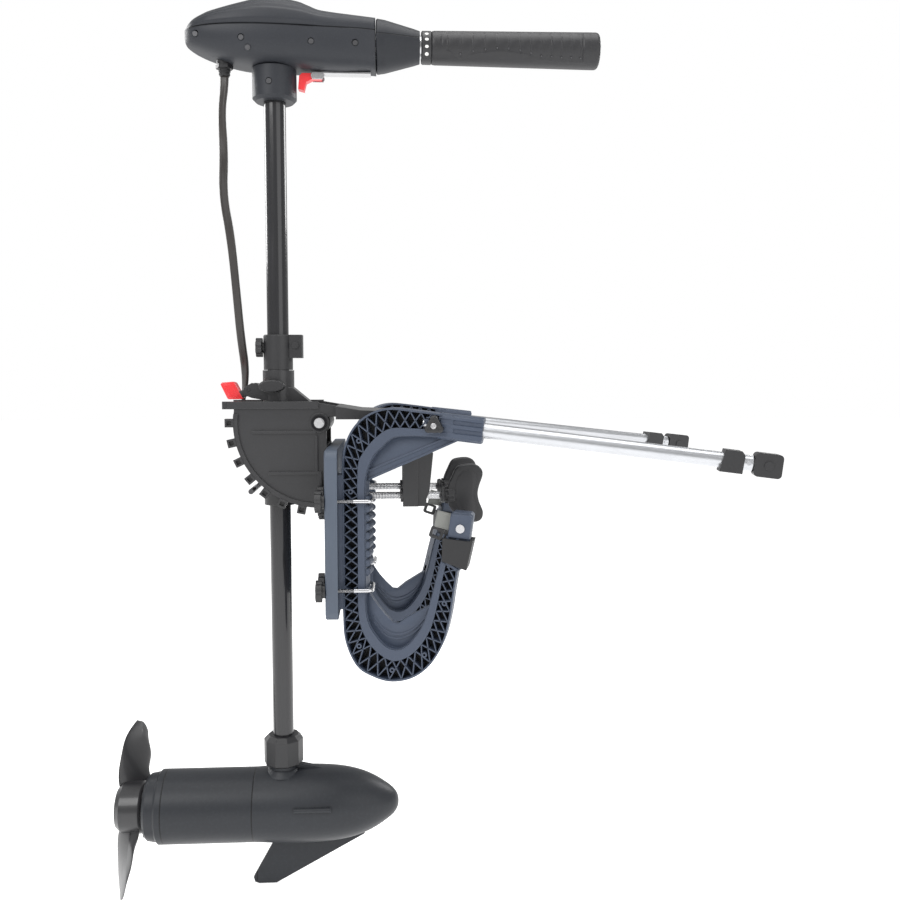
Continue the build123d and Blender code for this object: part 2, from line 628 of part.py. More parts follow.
# ======================================================================================
# depth collar, hub and tilt lock
# ======================================================================================
COLLAR_Z = HUB_TOP_Z + GAP
LUG_Z = COLLAR_Z + COLLAR_LEN - 31.0
KNOB_Z = COLLAR_Z + 30.0
STUD_R = 3.0
with BuildPart() as depth_collar:
    with BuildSketch(level(COLLAR_Z, SHAFT_X)):
        Circle(COLLAR_R)
    extrude(amount=COLLAR_LEN)
    chamfer(depth_collar.edges().group_by(Axis.Z)[-1], length=1.5)
    # clamp lug towards the bow
    with BuildSketch(level(LUG_Z, SHAFT_X)):
        with Locations((COLLAR_R + 3.5, 0)):
            RectangleRounded(20.0, 22.0, 2.0)
    extrude(amount=31.0)
    # boss behind the depth knob
    with BuildSketch(facing(SHAFT_X - COLLAR_R - 1.0, KNOB_Z)):
        Circle(7.0)
    extrude(amount=6.0)
    # clamp screw head and nut
    for y, h in ((-11.0, -2.5), (11.0, 2.5)):
        with BuildSketch(side(SHAFT_X + COLLAR_R + 4.5, LUG_Z + 17.0, y)):
            Circle(4.5)
        extrude(amount=-h)
    with BuildSketch(level(COLLAR_Z, SHAFT_X)):
        Circle(SHAFT_R + SLIDE)
    extrude(amount=COLLAR_LEN, mode=Mode.SUBTRACT)
    with BuildSketch(level(LUG_Z - 0.1, SHAFT_X)):
        with Locations((COLLAR_R + 3.5, 0)):
            Rectangle(21.0, 2.4)
    extrude(amount=31.2, mode=Mode.SUBTRACT)
    with BuildSketch(facing(SHAFT_X - COLLAR_R - 2.0, KNOB_Z)):
        Circle(STUD_R + RUN)
    extrude(amount=12.0, mode=Mode.SUBTRACT)
depth_collar.part.label = "depth_collar"
export_step(depth_collar.part, "parts/depth_collar.step")

with BuildPart() as depth_collar_knob:
    with BuildSketch(facing(SHAFT_X - COLLAR_R - 9.5, KNOB_Z)):
        Circle(13.0)
        with PolarLocations(14.5, 8):
            Circle(3.0, mode=Mode.SUBTRACT)
    extrude(amount=8.0)
    with BuildSketch(facing(SHAFT_X - COLLAR_R - 2.0, KNOB_Z)):
        Circle(STUD_R)
    extrude(amount=COLLAR_R + 2.0 - SHAFT_R - 0.3)
depth_collar_knob.part.label = "depth_collar_knob"
export_step(depth_collar_knob.part, "parts/depth_collar_knob.step")

TENSION_Z = HUB_TOP_Z - 21.0
BARREL_R = PIVOT_R + 9.0
LEVER_X = SHAFT_X - 38.0
LEVER_Z = BRACKET_Z + 14.0
LEVER_PIN_R = 2.5
LOCK_ANGLE = -135.0       # lock bar's place on the quadrant, seen from starboard
LOCK_FREE = 15.0          # lock bar's distance outside the rim when lifted clear
LOCK_ROD_R = 2.5
LOCK_ROD_Y = 26.0
LOCK_TRAVEL = 10.0        # slide of the lock bar into the quadrant
ROD_IN = 16.0             # rods' length inside the guides when lifted
GUIDE_R = (PIVOT_X - SHAFT_X) / math.cos(math.radians(180.0 + LOCK_ANGLE))
GUIDE_Z = PIVOT_Z - (PIVOT_X - SHAFT_X) * math.tan(math.radians(180.0 + LOCK_ANGLE))


def lock_plane(r, y):
    """Plane across the lock bar's slide, at distance r from the tilt pivot."""
    a = math.radians(LOCK_ANGLE)
    d = (math.cos(a), 0, math.sin(a))
    return Plane(origin=(PIVOT_X + r * d[0], y, PIVOT_Z + r * d[2]), x_dir=(0, 1, 0), z_dir=d)


with BuildPart() as steering_hub:
    with BuildSketch(level(HUB_FOOT_Z, SHAFT_X)):
        Circle(HUB_R)
    extrude(amount=HUB_TOP_Z - HUB_FOOT_Z)
    # arm to the tilt pivot
    with BuildSketch(side(SHAFT_X, PIVOT_Z)):
        with BuildLine():
            Polyline((0, 46), (20, 46), (43, 27), (64, 8), (64, -10), (40, -22), (0, -50), close=True)
        make_face()
    extrude(amount=16.0, both=True)
    with BuildSketch(side(PIVOT_X, PIVOT_Z)):
        Circle(BARREL_R)
    extrude(amount=PLATE_IN - GAP, both=True)
    # boss of the tension knob, towards starboard
    with BuildSketch(side(SHAFT_X - 6.0, TENSION_Z, -HUB_R + 4)):
        RectangleRounded(22.0, 12.0, 5.0)
    extrude(amount=5.0)
    # ears of the tilt lock lever
    for y in (-15.0, 15.0):
        with BuildSketch(side(SHAFT_X, BRACKET_Z, y)):
            with BuildLine():
                Polyline((-12, 22), (-34, 24), (-44, 18), (-44, 8), (-34, 4), (-12, 0), close=True)
            make_face()
        extrude(amount=2.0, both=True)
    # bore for the shaft
    with BuildSketch(level(HUB_FOOT_Z, SHAFT_X)):
        Circle(SHAFT_R + RUN)
    extrude(amount=HUB_TOP_Z - HUB_FOOT_Z, mode=Mode.SUBTRACT)
    with BuildSketch(side(PIVOT_X, PIVOT_Z)):
        Circle(PIVOT_R + RUN)
    extrude(amount=PLATE_IN, both=True, mode=Mode.SUBTRACT)
    with BuildSketch(side(SHAFT_X - 6.0, TENSION_Z, -HUB_R - 2.0)):
        Circle(STUD_R + RUN)
    extrude(amount=-9.0, mode=Mode.SUBTRACT)
    with BuildSketch(side(LEVER_X, LEVER_Z)):
        Circle(LEVER_PIN_R + RUN)
    extrude(amount=20.0, both=True, mode=Mode.SUBTRACT)
    # guides of the lock bar's rods, drilled towards the pivot
    with BuildSketch(side(SHAFT_X, GUIDE_Z)):
        Rectangle(12.0, 14.0)
    extrude(amount=LOCK_ROD_Y + 5.0, both=True)
    with BuildSketch(level(HUB_FOOT_Z, SHAFT_X)):
        Circle(SHAFT_R + RUN)
    extrude(amount=HUB_TOP_Z - HUB_FOOT_Z, mode=Mode.SUBTRACT)
    for y in (-LOCK_ROD_Y, LOCK_ROD_Y):
        with BuildSketch(lock_plane(GUIDE_R - ROD_IN - LOCK_TRAVEL - 2.0, y)):
            Circle(LOCK_ROD_R + SLIDE)
        extrude(amount=2 * ROD_IN + LOCK_TRAVEL + 6.0, mode=Mode.SUBTRACT)
steering_hub.part.label = "steering_hub"
export_step(steering_hub.part, "parts/steering_hub.step")

with BuildPart() as steering_tension_knob:
    with BuildSketch(side(SHAFT_X - 6.0, TENSION_Z, -HUB_R - 1.6)):
        Ellipse(17.5, 8.5)
    extrude(amount=9.0)
    fillet(steering_tension_knob.edges().group_by(Axis.Y)[0], radius=2.5)
    with BuildSketch(side(SHAFT_X - 6.0, TENSION_Z, -HUB_R + 4.0)):
        Circle(STUD_R)
    extrude(amount=7.0)
steering_tension_knob.part.label = "steering_tension_knob"
export_step(steering_tension_knob.part, "parts/steering_tension_knob.step")

with BuildPart() as tilt_lock_lever:
    with BuildSketch(side(LEVER_X, LEVER_Z)):
        with BuildLine():
            Polyline((-38, 9), (-17, 12), (0, 6), (5, 1), (5, -5), (0, -8), (-8, -8), (-27, -12), close=True)
        make_face()
    extrude(amount=12.5, both=True)
    with BuildSketch(side(LEVER_X, LEVER_Z)):
        Circle(LEVER_PIN_R)
    extrude(amount=17.5, both=True)
tilt_lock_lever.part.label = "tilt_lock_lever"
export_step(tilt_lock_lever.part, "parts/tilt_lock_lever.step")

BAR_R = 3.5
LOCK_BAR_R = QUAD_R + LOCK_FREE
with BuildPart() as tilt_lock_bar:
    la = math.radians(LOCK_ANGLE)
    with BuildSketch(side(PIVOT_X + LOCK_BAR_R * math.cos(la), PIVOT_Z + LOCK_BAR_R * math.sin(la))):
        Circle(BAR_R)
    extrude(amount=PLATE_IN + PLATE_T + 4.0, both=True)
    for y in (-LOCK_ROD_Y, LOCK_ROD_Y):
        with BuildSketch(lock_plane(GUIDE_R - ROD_IN, y)):
            Circle(LOCK_ROD_R)
        extrude(amount=LOCK_BAR_R - GUIDE_R + ROD_IN)
tilt_lock_bar.part.label = "tilt_lock_bar"
export_step(tilt_lock_bar.part, "parts/tilt_lock_bar.step")

# ======================================================================================
# transom bracket and clamps
# ======================================================================================
PLATE_OUT = PLATE_IN + PLATE_T
ARC_FROM, ARC_SIZE = 172.0, 97.0
rim = [(QUAD_R * math.cos(math.radians(a)), QUAD_R * math.sin(math.radians(a)))
       for a in (ARC_FROM, ARC_FROM + ARC_SIZE)]
TOP = BRACKET_Z - PIVOT_Z
JAW_X = BOARD_X - PIVOT_X
JAW_FOOT = -128.0
BRIDGE_T = 9.0
BRIDGE_HALF = CLAMP_Y + 9.0
with BuildPart() as transom_bracket:
    for y in (-PLATE_IN - PLATE_T / 2, PLATE_IN + PLATE_T / 2):
        with BuildSketch(side(PIVOT_X, PIVOT_Z, y)):
            with BuildLine():
                CenterArc((0, 0), QUAD_R, ARC_FROM, ARC_SIZE)
                Polyline(rim[0], (rim[0][0], TOP - 10), (-126, TOP - 10), (-126, TOP), (-12, TOP),
                         (53, TOP - 11), (53, TOP - 20), (JAW_X - 1, TOP - 20), (JAW_X - 1, JAW_FOOT),
                         (rim[1][0], JAW_FOOT), rim[1])
            make_face()
        extrude(amount=PLATE_T / 2, both=True)
    for sgn in (-1, 1):
        yo = sgn * PLATE_OUT
        out = 3.0 if sgn < 0 else -3.0
        # raised rim, top flange and stiffening ribs on the outer faces
        with BuildSketch(side(PIVOT_X, PIVOT_Z, yo)):
            with BuildLine():
                CenterArc((0, 0), QUAD_R, ARC_FROM + 2, ARC_SIZE - 3)
                CenterArc((0, 0), QUAD_R - 6, ARC_FROM + 2, ARC_SIZE - 3)
                for a in (ARC_FROM + 2, ARC_FROM + ARC_SIZE - 1):
                    c, s = math.cos(math.radians(a)), math.sin(math.radians(a))
                    Line((c * QUAD_R, s * QUAD_R), (c * (QUAD_R - 6), s * (QUAD_R - 6)))
            make_face()
            with Locations((-60, TOP - 4.5)):
                Rectangle(118, 9)
            with Locations((-46, -12)):
                Rectangle(84, 3)
            with Locations((-34, -66)):
                Rectangle(66, 3)
            with Locations((-4, -42)):
                Rectangle(3, 50)
            with Locations((0, -95)):
                Rectangle(5, 62)
            with Locations((0, 0)):
                Circle(13.0)
        extrude(amount=out)
        # tooth blocks around the quadrant
        for i in range(8):
            a = math.radians(180.0 + i * TOOTH_STEP)
            r = QUAD_R + 5.0
            with BuildSketch(side(PIVOT_X + r * math.cos(a), PIVOT_Z + r * math.sin(a), sgn * PLATE_IN)):
                Rectangle(TOOTH_SIZE, TOOTH_SIZE, rotation=i * TOOTH_STEP)
            extrude(amount=(PLATE_T + 4.0) * (1 if sgn < 0 else -1))
            with BuildSketch(side(PIVOT_X + r * math.cos(a), PIVOT_Z + r * math.sin(a), sgn * (PLATE_OUT + 4.1))):
                Rectangle(TOOTH_SIZE - 5, TOOTH_SIZE - 5, rotation=i * TOOTH_STEP)
            extrude(amount=-5.0 if sgn < 0 else 5.0, mode=Mode.SUBTRACT)
    # jaw against the board's rear face
    with BuildSketch(facing(BOARD_X - 10.2, PIVOT_Z)):
        with Locations((0, (JAW_FOOT - 30) / 2)):
            Rectangle(2 * PLATE_OUT, -30 - JAW_FOOT)
    extrude(amount=10.0)
    # bridge over the board
    with BuildSketch(side(PIVOT_X, PIVOT_Z)):
        with BuildLine():
            Polyline((22, TOP - 6), (53, TOP - 11), (ARM_X + ARM_T - PIVOT_X, TOP - 14),
                     (ARM_X + ARM_T - PIVOT_X, TOP - 14 - BRIDGE_T), (22, TOP - 14 - BRIDGE_T), close=True)
        make_face()
    extrude(amount=BRIDGE_HALF, both=True)
    # clamp arms with their buttresses
    arm_top = BRACKET_Z - 14.0 - BRIDGE_T
    for y in (-CLAMP_Y, CLAMP_Y):
        with BuildSketch(side(ARM_X, CLAMP_Z, y)):
            with BuildLine():
                Polyline((0, arm_top - CLAMP_Z + 1), (0, -14), (ARM_T, -14), (ARM_T + 11, -14),
                         (ARM_T + 11, -4), (ARM_T + 15, 6), (ARM_T + 20, 56), (ARM_T, 70),
                         (ARM_T, arm_top - CLAMP_Z + 1), close=True)
            make_face()
        extrude(amount=6.0, both=True)
        with BuildSketch(side(ARM_X, CLAMP_Z, y)):
            with BuildLine():
                Polyline((0, arm_top - CLAMP_Z + 1), (0, -14), (ARM_T, -14),
                         (ARM_T, arm_top - CLAMP_Z + 1), close=True)
            make_face()
        extrude(amount=9.0, both=True)
        with BuildSketch(facing(ARM_X - 3.0, CLAMP_Z, y)):
            Circle(9.0)
        extrude(amount=6.0)
        with BuildSketch(facing(ARM_X - 4.0, CLAMP_Z, y)):
            Circle(CLAMP_R + RUN)
        extrude(amount=ARM_T + 25.0, mode=Mode.SUBTRACT)
    # bore of the tilt pivot
    with BuildSketch(side(PIVOT_X, PIVOT_Z)):
        Circle(PIVOT_R + SEAT)
    extrude(amount=PLATE_OUT + 5.0, both=True, mode=Mode.SUBTRACT)
transom_bracket.part.label = "transom_bracket"
export_step(transom_bracket.part, "parts/transom_bracket.step")

with BuildPart() as tilt_pivot_bolt:
    with BuildSketch(side(PIVOT_X, PIVOT_Z)):
        Circle(PIVOT_R)
    extrude(amount=PLATE_OUT + 9.0, both=True)
    for sgn in (-1, 1):
        with BuildSketch(side(PIVOT_X, PIVOT_Z, sgn * (PLATE_OUT + 5.2))):
            Circle(PIVOT_R + 5.5)
        extrude(amount=1.0, both=True)
        with BuildSketch(side(PIVOT_X, PIVOT_Z, sgn * (PLATE_OUT + 9.0))):
            RegularPolygon(PIVOT_R + 1.4, 6)
        extrude(amount=3.0, both=True)
tilt_pivot_bolt.part.label = "tilt_pivot_bolt"
export_step(tilt_pivot_bolt.part, "parts/tilt_pivot_bolt.step")

BOARD_FRONT_X = BOARD_X + BOARD_T
PAD_T = 5.0
SCREW_END_X = 58.0


def clamp_pad(name, sgn):
    with BuildPart() as p:
        with BuildSketch(facing(BOARD_FRONT_X + 0.1, CLAMP_Z, sgn * CLAMP_Y)):
            Circle(PAD_R)
        extrude(amount=PAD_T)
        chamfer(p.edges().group_by(Axis.X)[-1], length=1.5)
        with BuildSketch(facing(BOARD_FRONT_X + PAD_T - 2.5, CLAMP_Z, sgn * CLAMP_Y)):
            Circle(3.0 + RUN)
        extrude(amount=4.0, mode=Mode.SUBTRACT)
    p.part.label = name
    export_step(p.part, "parts/" + name + ".step")


def clamp_screw(name, sgn):
    x0 = BOARD_FRONT_X + 0.1 + PAD_T
    with BuildPart() as p:
        with BuildSketch(facing(x0 + 0.3, CLAMP_Z, sgn * CLAMP_Y)):
            Circle(CLAMP_R)
        extrude(amount=SCREW_END_X - x0)
        with BuildSketch(facing(x0 - 2.2, CLAMP_Z, sgn * CLAMP_Y)):
            Circle(3.0)
        extrude(amount=4.0)
        # hub and two wings of the hand knob
        with BuildSketch(facing(SCREW_END_X - 7.0, CLAMP_Z, sgn * CLAMP_Y)):
            Circle(11.0)
        extrude(amount=20.0)
        with BuildSketch(side(SCREW_END_X, CLAMP_Z, sgn * CLAMP_Y)):
            with BuildLine():
                Spline((3, 10), (12, 32), (22, 40.5), (38, 41), (49, 33), (49, 24), (43, 10), (43, -6),
                       (50, -20), (49, -33), (40, -36), (20, -30), (3, -10))
                Line((3, -10), (3, 10))
            make_face()
        extrude(amount=6.5, both=True)
    p.part.label = name
    export_step(p.part, "parts/" + name + ".step")


for side_name, sgn in (("port", 1), ("starboard", -1)):
    clamp_pad("clamp_pad_" + side_name, sgn)
    clamp_screw("clamp_screw_" + side_name, sgn)

# ======================================================================================
# mount board, hook brackets and poles
# ======================================================================================
UB_Y = HOOK_Y + 7.0 * math.sin(math.radians(TOE))
LEG_Y = [sgn * (UB_Y + d) for sgn in (-1, 1) for d in (-UBOLT_HALF, UBOLT_HALF)]
with BuildPart() as mount_board:
    with BuildSketch(facing(BOARD_X, (BOARD_TOP_Z + BOARD_FOOT_Z) / 2)):
        RectangleRounded(2 * BOARD_HALF, BOARD_TOP_Z - BOARD_FOOT_Z, 12.0)
    extrude(amount=BOARD_T)
    chamfer(mount_board.edges().group_by(Axis.X)[0], length=1.5)
    with BuildSketch(facing(BOARD_X, 0)):
        with Locations(*[(y, z) for y in LEG_Y for z in UBOLT_Z]):
            Circle(UBOLT_R + SEAT)
    extrude(amount=BOARD_T, mode=Mode.SUBTRACT)
mount_board.part.label = "mount_board"
export_step(mount_board.part, "parts/mount_board.step")

SPINE_IN, SPINE_OUT = 22.0, -8.0
ARM_UP = ((117, -47), (124, -43), (127, -13), (131, 18), (159, 16), (154, -19), (145, -50), (137, -53))
POLE_S, POLE_Z = 111.0, 128.0
BEAM_END = 172.0
SLOPE = math.tan(math.radians(POLE_DROP))


def pole_plane(sgn, s):
    """Plane across a pole at in-plane distance s, its normal running along the pole."""
    h = hook_plane(sgn)
    o = h.from_local_coords(Vector(s, POLE_Z - (s - POLE_S) * SLOPE, 0))
    a = math.radians(POLE_DROP)
    d = h.x_dir * math.cos(a) - Vector(0, 0, 1) * math.sin(a)
    return Plane(origin=o, x_dir=h.z_dir, z_dir=d)


def pole_side(sgn, s):
    """Plane along a pole at in-plane distance s: local x runs along the pole, local y rises."""
    q = pole_plane(sgn, s)
    return Plane(origin=q.origin, x_dir=q.z_dir, z_dir=q.x_dir)


def strip(a0, a1, b0, b1, n):
    """Truss pockets between rail a and rail b: n triangles, each drawn in from its corners."""
    out = []
    for i in range(n):
        t0, t1, tm = i / n, (i + 1) / n, (i + 0.5) / n
        lo, hi = ((a0, a1), (b0, b1)) if i % 2 == 0 else ((b0, b1), (a0, a1))
        p = [tuple(lo[0][k] + (lo[1][k] - lo[0][k]) * t for k in (0, 1)) for t in (t0 - 0.3 / n, t1 + 0.3 / n)]
        p.append(tuple(hi[0][k] + (hi[1][k] - hi[0][k]) * tm for k in (0, 1)))
        c = [sum(q[k] for q in p) / 3 for k in (0, 1)]
        out.append([tuple(c[k] + (q[k] - c[k]) * 0.72 for k in (0, 1)) for q in p])
    return out


def ring_strip(cx, cz, r0, r1, a0, a1, n):
    out = []
    for i in range(n):
        da = (a1 - a0) / n
        base, apex = (r1, r0) if i % 2 == 0 else (r0, r1)
        p = []
        for r, a in ((base, a0 + (i - 0.3) * da), (base, a0 + (i + 1.3) * da), (apex, a0 + (i + 0.5) * da)):
            p.append((cx + r * math.cos(math.radians(a)), cz + r * math.sin(math.radians(a))))
        c = [sum(q[k] for q in p) / 3 for k in (0, 1)]
        out.append([tuple(c[k] + (q[k] - c[k]) * 0.72 for k in (0, 1)) for q in p])
    return out


def hook_bracket(name, sgn):
    pockets = strip((-3, -92), (-3, 84), (17, -92), (17, 84), 14)
    pockets += strip((30, 117), (92, 110), (34, 142), (92, 139), 6)
    pockets += ring_strip(62, -112, 62, 78, 192, 352, 13)
    pockets += strip((106, -98), (119, -52), (126, -104), (133, -58), 3)
    with BuildPart() as p:
        with BuildSketch(hook_plane(sgn)):
            with BuildLine():
                Spline((SPINE_OUT, 90), (0, 116), (13, 132), (31, 145), (50, 150),
                       tangents=[(0, 1), (1, -0.08)])
                Polyline((50, 150), (BEAM_END, 138), (BEAM_END - 3, 106), (141, 109), (SPINE_IN, 56),
                         (SPINE_IN, -92), (26, -96), (59, -128), (98, -104), (105, -92), (108, -72), ARM_UP[0],
                         *ARM_UP[1:])
                Spline(ARM_UP[-1], (133, -90), (119, -155), (89, -191), (54, -200), (12, -187), (-7, -152),
                       (SPINE_OUT, -116), tangents=[(0, -1), (0, 1)])
                Line((SPINE_OUT, -116), (SPINE_OUT, 90))
            make_face()
        extrude(amount=HOOK_T / 2, both=True)
        # serrations on the inner edge of the spine
        with BuildSketch(hook_plane(sgn)):
            with Locations(*[(SPINE_IN + 1.0, -62.0 + i * 13.0) for i in range(8) if i != 7]):
                SlotCenterToCenter(6.0, 7.0)
        extrude(amount=HOOK_T / 2 - 3.0, both=True)
        for off in (HOOK_T / 2 - 9.0, -HOOK_T / 2 + 9.0):
            with BuildSketch(hook_plane(sgn, off)):
                for tri in pockets:
                    with BuildLine():
                        Polyline(*tri, close=True)
                    make_face()
                with BuildLine():
                    Polyline((30, 65), (96, 94), (122, 105), (60, 106), (30, 96), close=True)
                make_face()
            extrude(amount=10.0 if off > 0 else -10.0, mode=Mode.SUBTRACT)
        # seat of the pole and hole of its clamp bolt
        with BuildSketch(pole_plane(sgn, POLE_S - 18.0)):
            Circle(POLE_R + SEAT)
        extrude(amount=100.0, mode=Mode.SUBTRACT)
        with BuildSketch(hook_plane(sgn)):
            with Locations((POLE_S, POLE_Z)):
                Circle(4.0 + RUN)
        extrude(amount=HOOK_T, both=True, mode=Mode.SUBTRACT)
    p.part.label = name
    export_step(p.part, "parts/" + name + ".step")


def pole(name, sgn):
    with BuildPart() as p:
        with BuildSketch(pole_plane(sgn, POLE_S - 16.0)):
            Circle(POLE_R)
            Circle(POLE_R - 1.5, mode=Mode.SUBTRACT)
        extrude(amount=POLE_LEN)
        # snap button between collar and end block
        with BuildSketch(pole_side(sgn, 491.5)):
            Circle(2.5)
        extrude(amount=POLE_R + 1.2, both=True)
        with BuildSketch(hook_plane(sgn)):
            with Locations((POLE_S, POLE_Z)):
                Circle(4.0 + RUN)
        extrude(amount=HOOK_T, both=True, mode=Mode.SUBTRACT)
    p.part.label = name
    export_step(p.part, "parts/" + name + ".step")


def pole_end(name, sgn):
    with BuildPart() as p:
        # locking collar on the pole
        with BuildSketch(pole_side(sgn, 473.0)):
            with BuildLine():
                Polyline((-11, 13.5), (9, 13.5), (13, 9), (12, -13.5), (-15, -13.5), close=True)
            make_face()
        extrude(amount=12.5, both=True)
        with BuildSketch(pole_side(sgn, 514.5)):
            RectangleRounded(33.0, 29.0, 5.0)
        extrude(amount=10.0, both=True)
        # rivet
        with BuildSketch(pole_side(sgn, 515.0)):
            Circle(5.5)
        extrude(amount=11.5, both=True)
        # seat of the pole
        with BuildSketch(pole_plane(sgn, 440.0)):
            Circle(POLE_R + SEAT)
        extrude(amount=60.0, mode=Mode.SUBTRACT)
    p.part.label = name
    export_step(p.part, "parts/" + name + ".step")


def pole_knob(name, sgn):
    """Three-lobed clamp knob with its bolt, on the outer face of a hook bracket."""
    face = HOOK_T / 2 + GAP
    out = 1 if sgn < 0 else -1
    with BuildPart() as p:
        with BuildSketch(hook_plane(sgn, out * face)):
            with Locations((POLE_S, POLE_Z)):
                Circle(9.0)
                for a in (90, 210, 330):
                    c, s = math.cos(math.radians(a)), math.sin(math.radians(a))
                    with Locations((7.0 * c, 7.0 * s)):
                        Circle(6.0)
                        Circle(2.2, mode=Mode.SUBTRACT)
        extrude(amount=out * 10.0)
        with BuildSketch(hook_plane(sgn, -out * face)):
            with Locations((POLE_S, POLE_Z)):
                Circle(4.0)
        extrude(amount=out * (2 * face + 12.5))
        with BuildSketch(hook_plane(sgn, -out * (face + 4.0))):
            with Locations((POLE_S, POLE_Z)):
                RegularPolygon(7.5, 6)
        extrude(amount=out * 4.0)
    p.part.label = name
    export_step(p.part, "parts/" + name + ".step")


for side_name, sgn in (("port", 1), ("starboard", -1)):
    hook_bracket("hook_bracket_" + side_name, sgn)
    pole("pole_" + side_name, sgn)
    pole_end("pole_end_" + side_name, sgn)
    pole_knob("pole_knob_" + side_name, sgn)

# wedges that carry the turned spines on the flat board
WEDGE_FOOT_Z, WEDGE_TOP_Z = -108.0, 64.0
with BuildPart() as saddle_wedges:
    for sgn in (-1, 1):
        h = hook_plane(sgn)
        p0 = h.from_local_coords(Vector(SPINE_OUT, 0, HOOK_T / 2))
        p1 = h.from_local_coords(Vector(SPINE_OUT, 0, -HOOK_T / 2))
        with BuildSketch(level(WEDGE_FOOT_Z)):
            with BuildLine():
                Polyline((BOARD_FRONT_X, p0.Y), (p0.X, p0.Y), (p1.X, p1.Y), (BOARD_FRONT_X, p1.Y), close=True)
            make_face()
        extrude(amount=WEDGE_TOP_Z - WEDGE_FOOT_Z)
saddle_wedges.part.label = "saddle_wedges"
export_step(saddle_wedges.part, "parts/saddle_wedges.step")

UB_BACK_X = -37.5
UB_END_X = BOARD_X - 12.5
with BuildPart() as u_bolts:
    for sgn in (-1, 1):
        for z in UBOLT_Z:
            ya, yb = sgn * (UB_Y - UBOLT_HALF), sgn * (UB_Y + UBOLT_HALF)
            with BuildLine():
                FilletPolyline((UB_END_X, ya, z), (UB_BACK_X, ya, z), (UB_BACK_X, yb, z),
                               (UB_END_X, yb, z), radius=6.0)
            with BuildSketch(facing(UB_END_X, z, ya)):
                Circle(UBOLT_R)
            sweep()
u_bolts.part.label = "u_bolts"
export_step(u_bolts.part, "parts/u_bolts.step")

with BuildPart() as u_bolt_nuts:
    for y in LEG_Y:
        for z in UBOLT_Z:
            with BuildSketch(facing(BOARD_X - 12.0, z, y)):
                Circle(14.0)
                with PolarLocations(17.0, 6):
                    Circle(5.0, mode=Mode.SUBTRACT)
            extrude(amount=8.0)
            with BuildSketch(facing(BOARD_X - 5.0, z, y)):
                Circle(9.0)
            extrude(amount=4.9)
            with BuildSketch(facing(BOARD_X - 13.0, z, y)):
                Circle(UBOLT_R + RUN)
            extrude(amount=14.0, mode=Mode.SUBTRACT)
u_bolt_nuts.part.label = "u_bolt_nuts"
export_step(u_bolt_nuts.part, "parts/u_bolt_nuts.step")

with BuildPart() as hook_tip_boots:
    for sgn in (-1, 1):
        with BuildSketch(hook_plane(sgn)):
            with BuildLine():
                Polyline((121, -13), (159, -17), (151, -53), (120, -42), close=True)
            make_face()
        extrude(amount=HOOK_T / 2 + 4.0, both=True)
        with BuildSketch(hook_plane(sgn)):
            with BuildLine():
                Polyline((116, -66), (123.2, -43), (126.2, -10), (156, -10), (154.9, -19), (145.9, -50),
                         (138, -66), close=True)
            make_face()
        extrude(amount=HOOK_T / 2 + 0.3, both=True, mode=Mode.SUBTRACT)
hook_tip_boots.part.label = "hook_tip_boots"
export_step(hook_tip_boots.part, "parts/hook_tip_boots.step")

with BuildPart() as hook_tip_rivets:
    for sgn in (-1, 1):
        for out in (-1, 1):
            with BuildSketch(hook_plane(sgn, out * HOOK_T / 2)):
                with Locations((143.0, -1.0)):
                    Circle(5.5)
            extrude(amount=out * 2.0)
hook_tip_rivets.part.label = "hook_tip_rivets"
export_step(hook_tip_rivets.part, "parts/hook_tip_rivets.step")

with BuildPart() as hook_tip_straps:
    for sgn in (-1, 1):
        with BuildSketch(hook_plane(sgn)):
            with BuildLine():
                Polyline((113, 21), (130.4, 17), (127.4, -4), (110, 2), close=True)
            make_face()
        extrude(amount=1.5, both=True)
hook_tip_straps.part.label = "hook_tip_straps"
export_step(hook_tip_straps.part, "parts/hook_tip_straps.step")

with BuildPart() as strap_buckles:
    for sgn in (-1, 1):
        with BuildSketch(hook_plane(sgn)):
            with Locations(Location((111.0, -9.0, 0), (0, 0, -20))):
                RectangleRounded(17.0, 15.0, 3.0)
                RectangleRounded(10.0, 8.0, 1.5, mode=Mode.SUBTRACT)
        extrude(amount=2.2, both=True)
strap_buckles.part.label = "strap_buckles"
export_step(strap_buckles.part, "parts/strap_buckles.step")

# ======================================================================================
# battery cable: free run from the head, stowed coil and ring terminals
# ======================================================================================
RUN_TOP_Z = GLAND_TOP_Z - 21.0
RUN_FOOT_Z = COIL_Z + 50.0
# offset from the gland along X, across Y, and the share of the drop from the head
CORD_WAY = ((0, 0, 0.0), (-5, 1, 0.12), (-3, 3, 0.244), (-6, 5, 0.366), (3, 9, 0.488), (8, 20, 0.668),
            (10, 34, 0.79), (14, 52, 0.905), (10, 66, 1.0))
CORD_RUN = [(GLAND_X + x, y, RUN_TOP_Z - share * (RUN_TOP_Z - RUN_FOOT_Z)) for x, y, share in CORD_WAY]
with BuildPart() as battery_cable_run:
    with BuildLine():
        FilletPolyline(*CORD_RUN, radius=45.0)
    with BuildSketch(Plane(origin=CORD_RUN[0], z_dir=Vector(*CORD_RUN[1]) - Vector(*CORD_RUN[0]))):
        Circle(CORD_R)
    sweep()
battery_cable_run.part.label = "battery_cable_run"
export_step(battery_cable_run.part, "parts/battery_cable_run.step")

with BuildPart() as battery_cable_coil:
    with BuildSketch(side(COIL_X, COIL_Z, COIL_Y)):
        Circle(COIL_R + COIL_WALL / 2)
        Circle(COIL_R - COIL_WALL / 2, mode=Mode.SUBTRACT)
    extrude(amount=COIL_T / 2, both=True)
battery_cable_coil.part.label = "battery_cable_coil"
export_step(battery_cable_coil.part, "parts/battery_cable_coil.step")

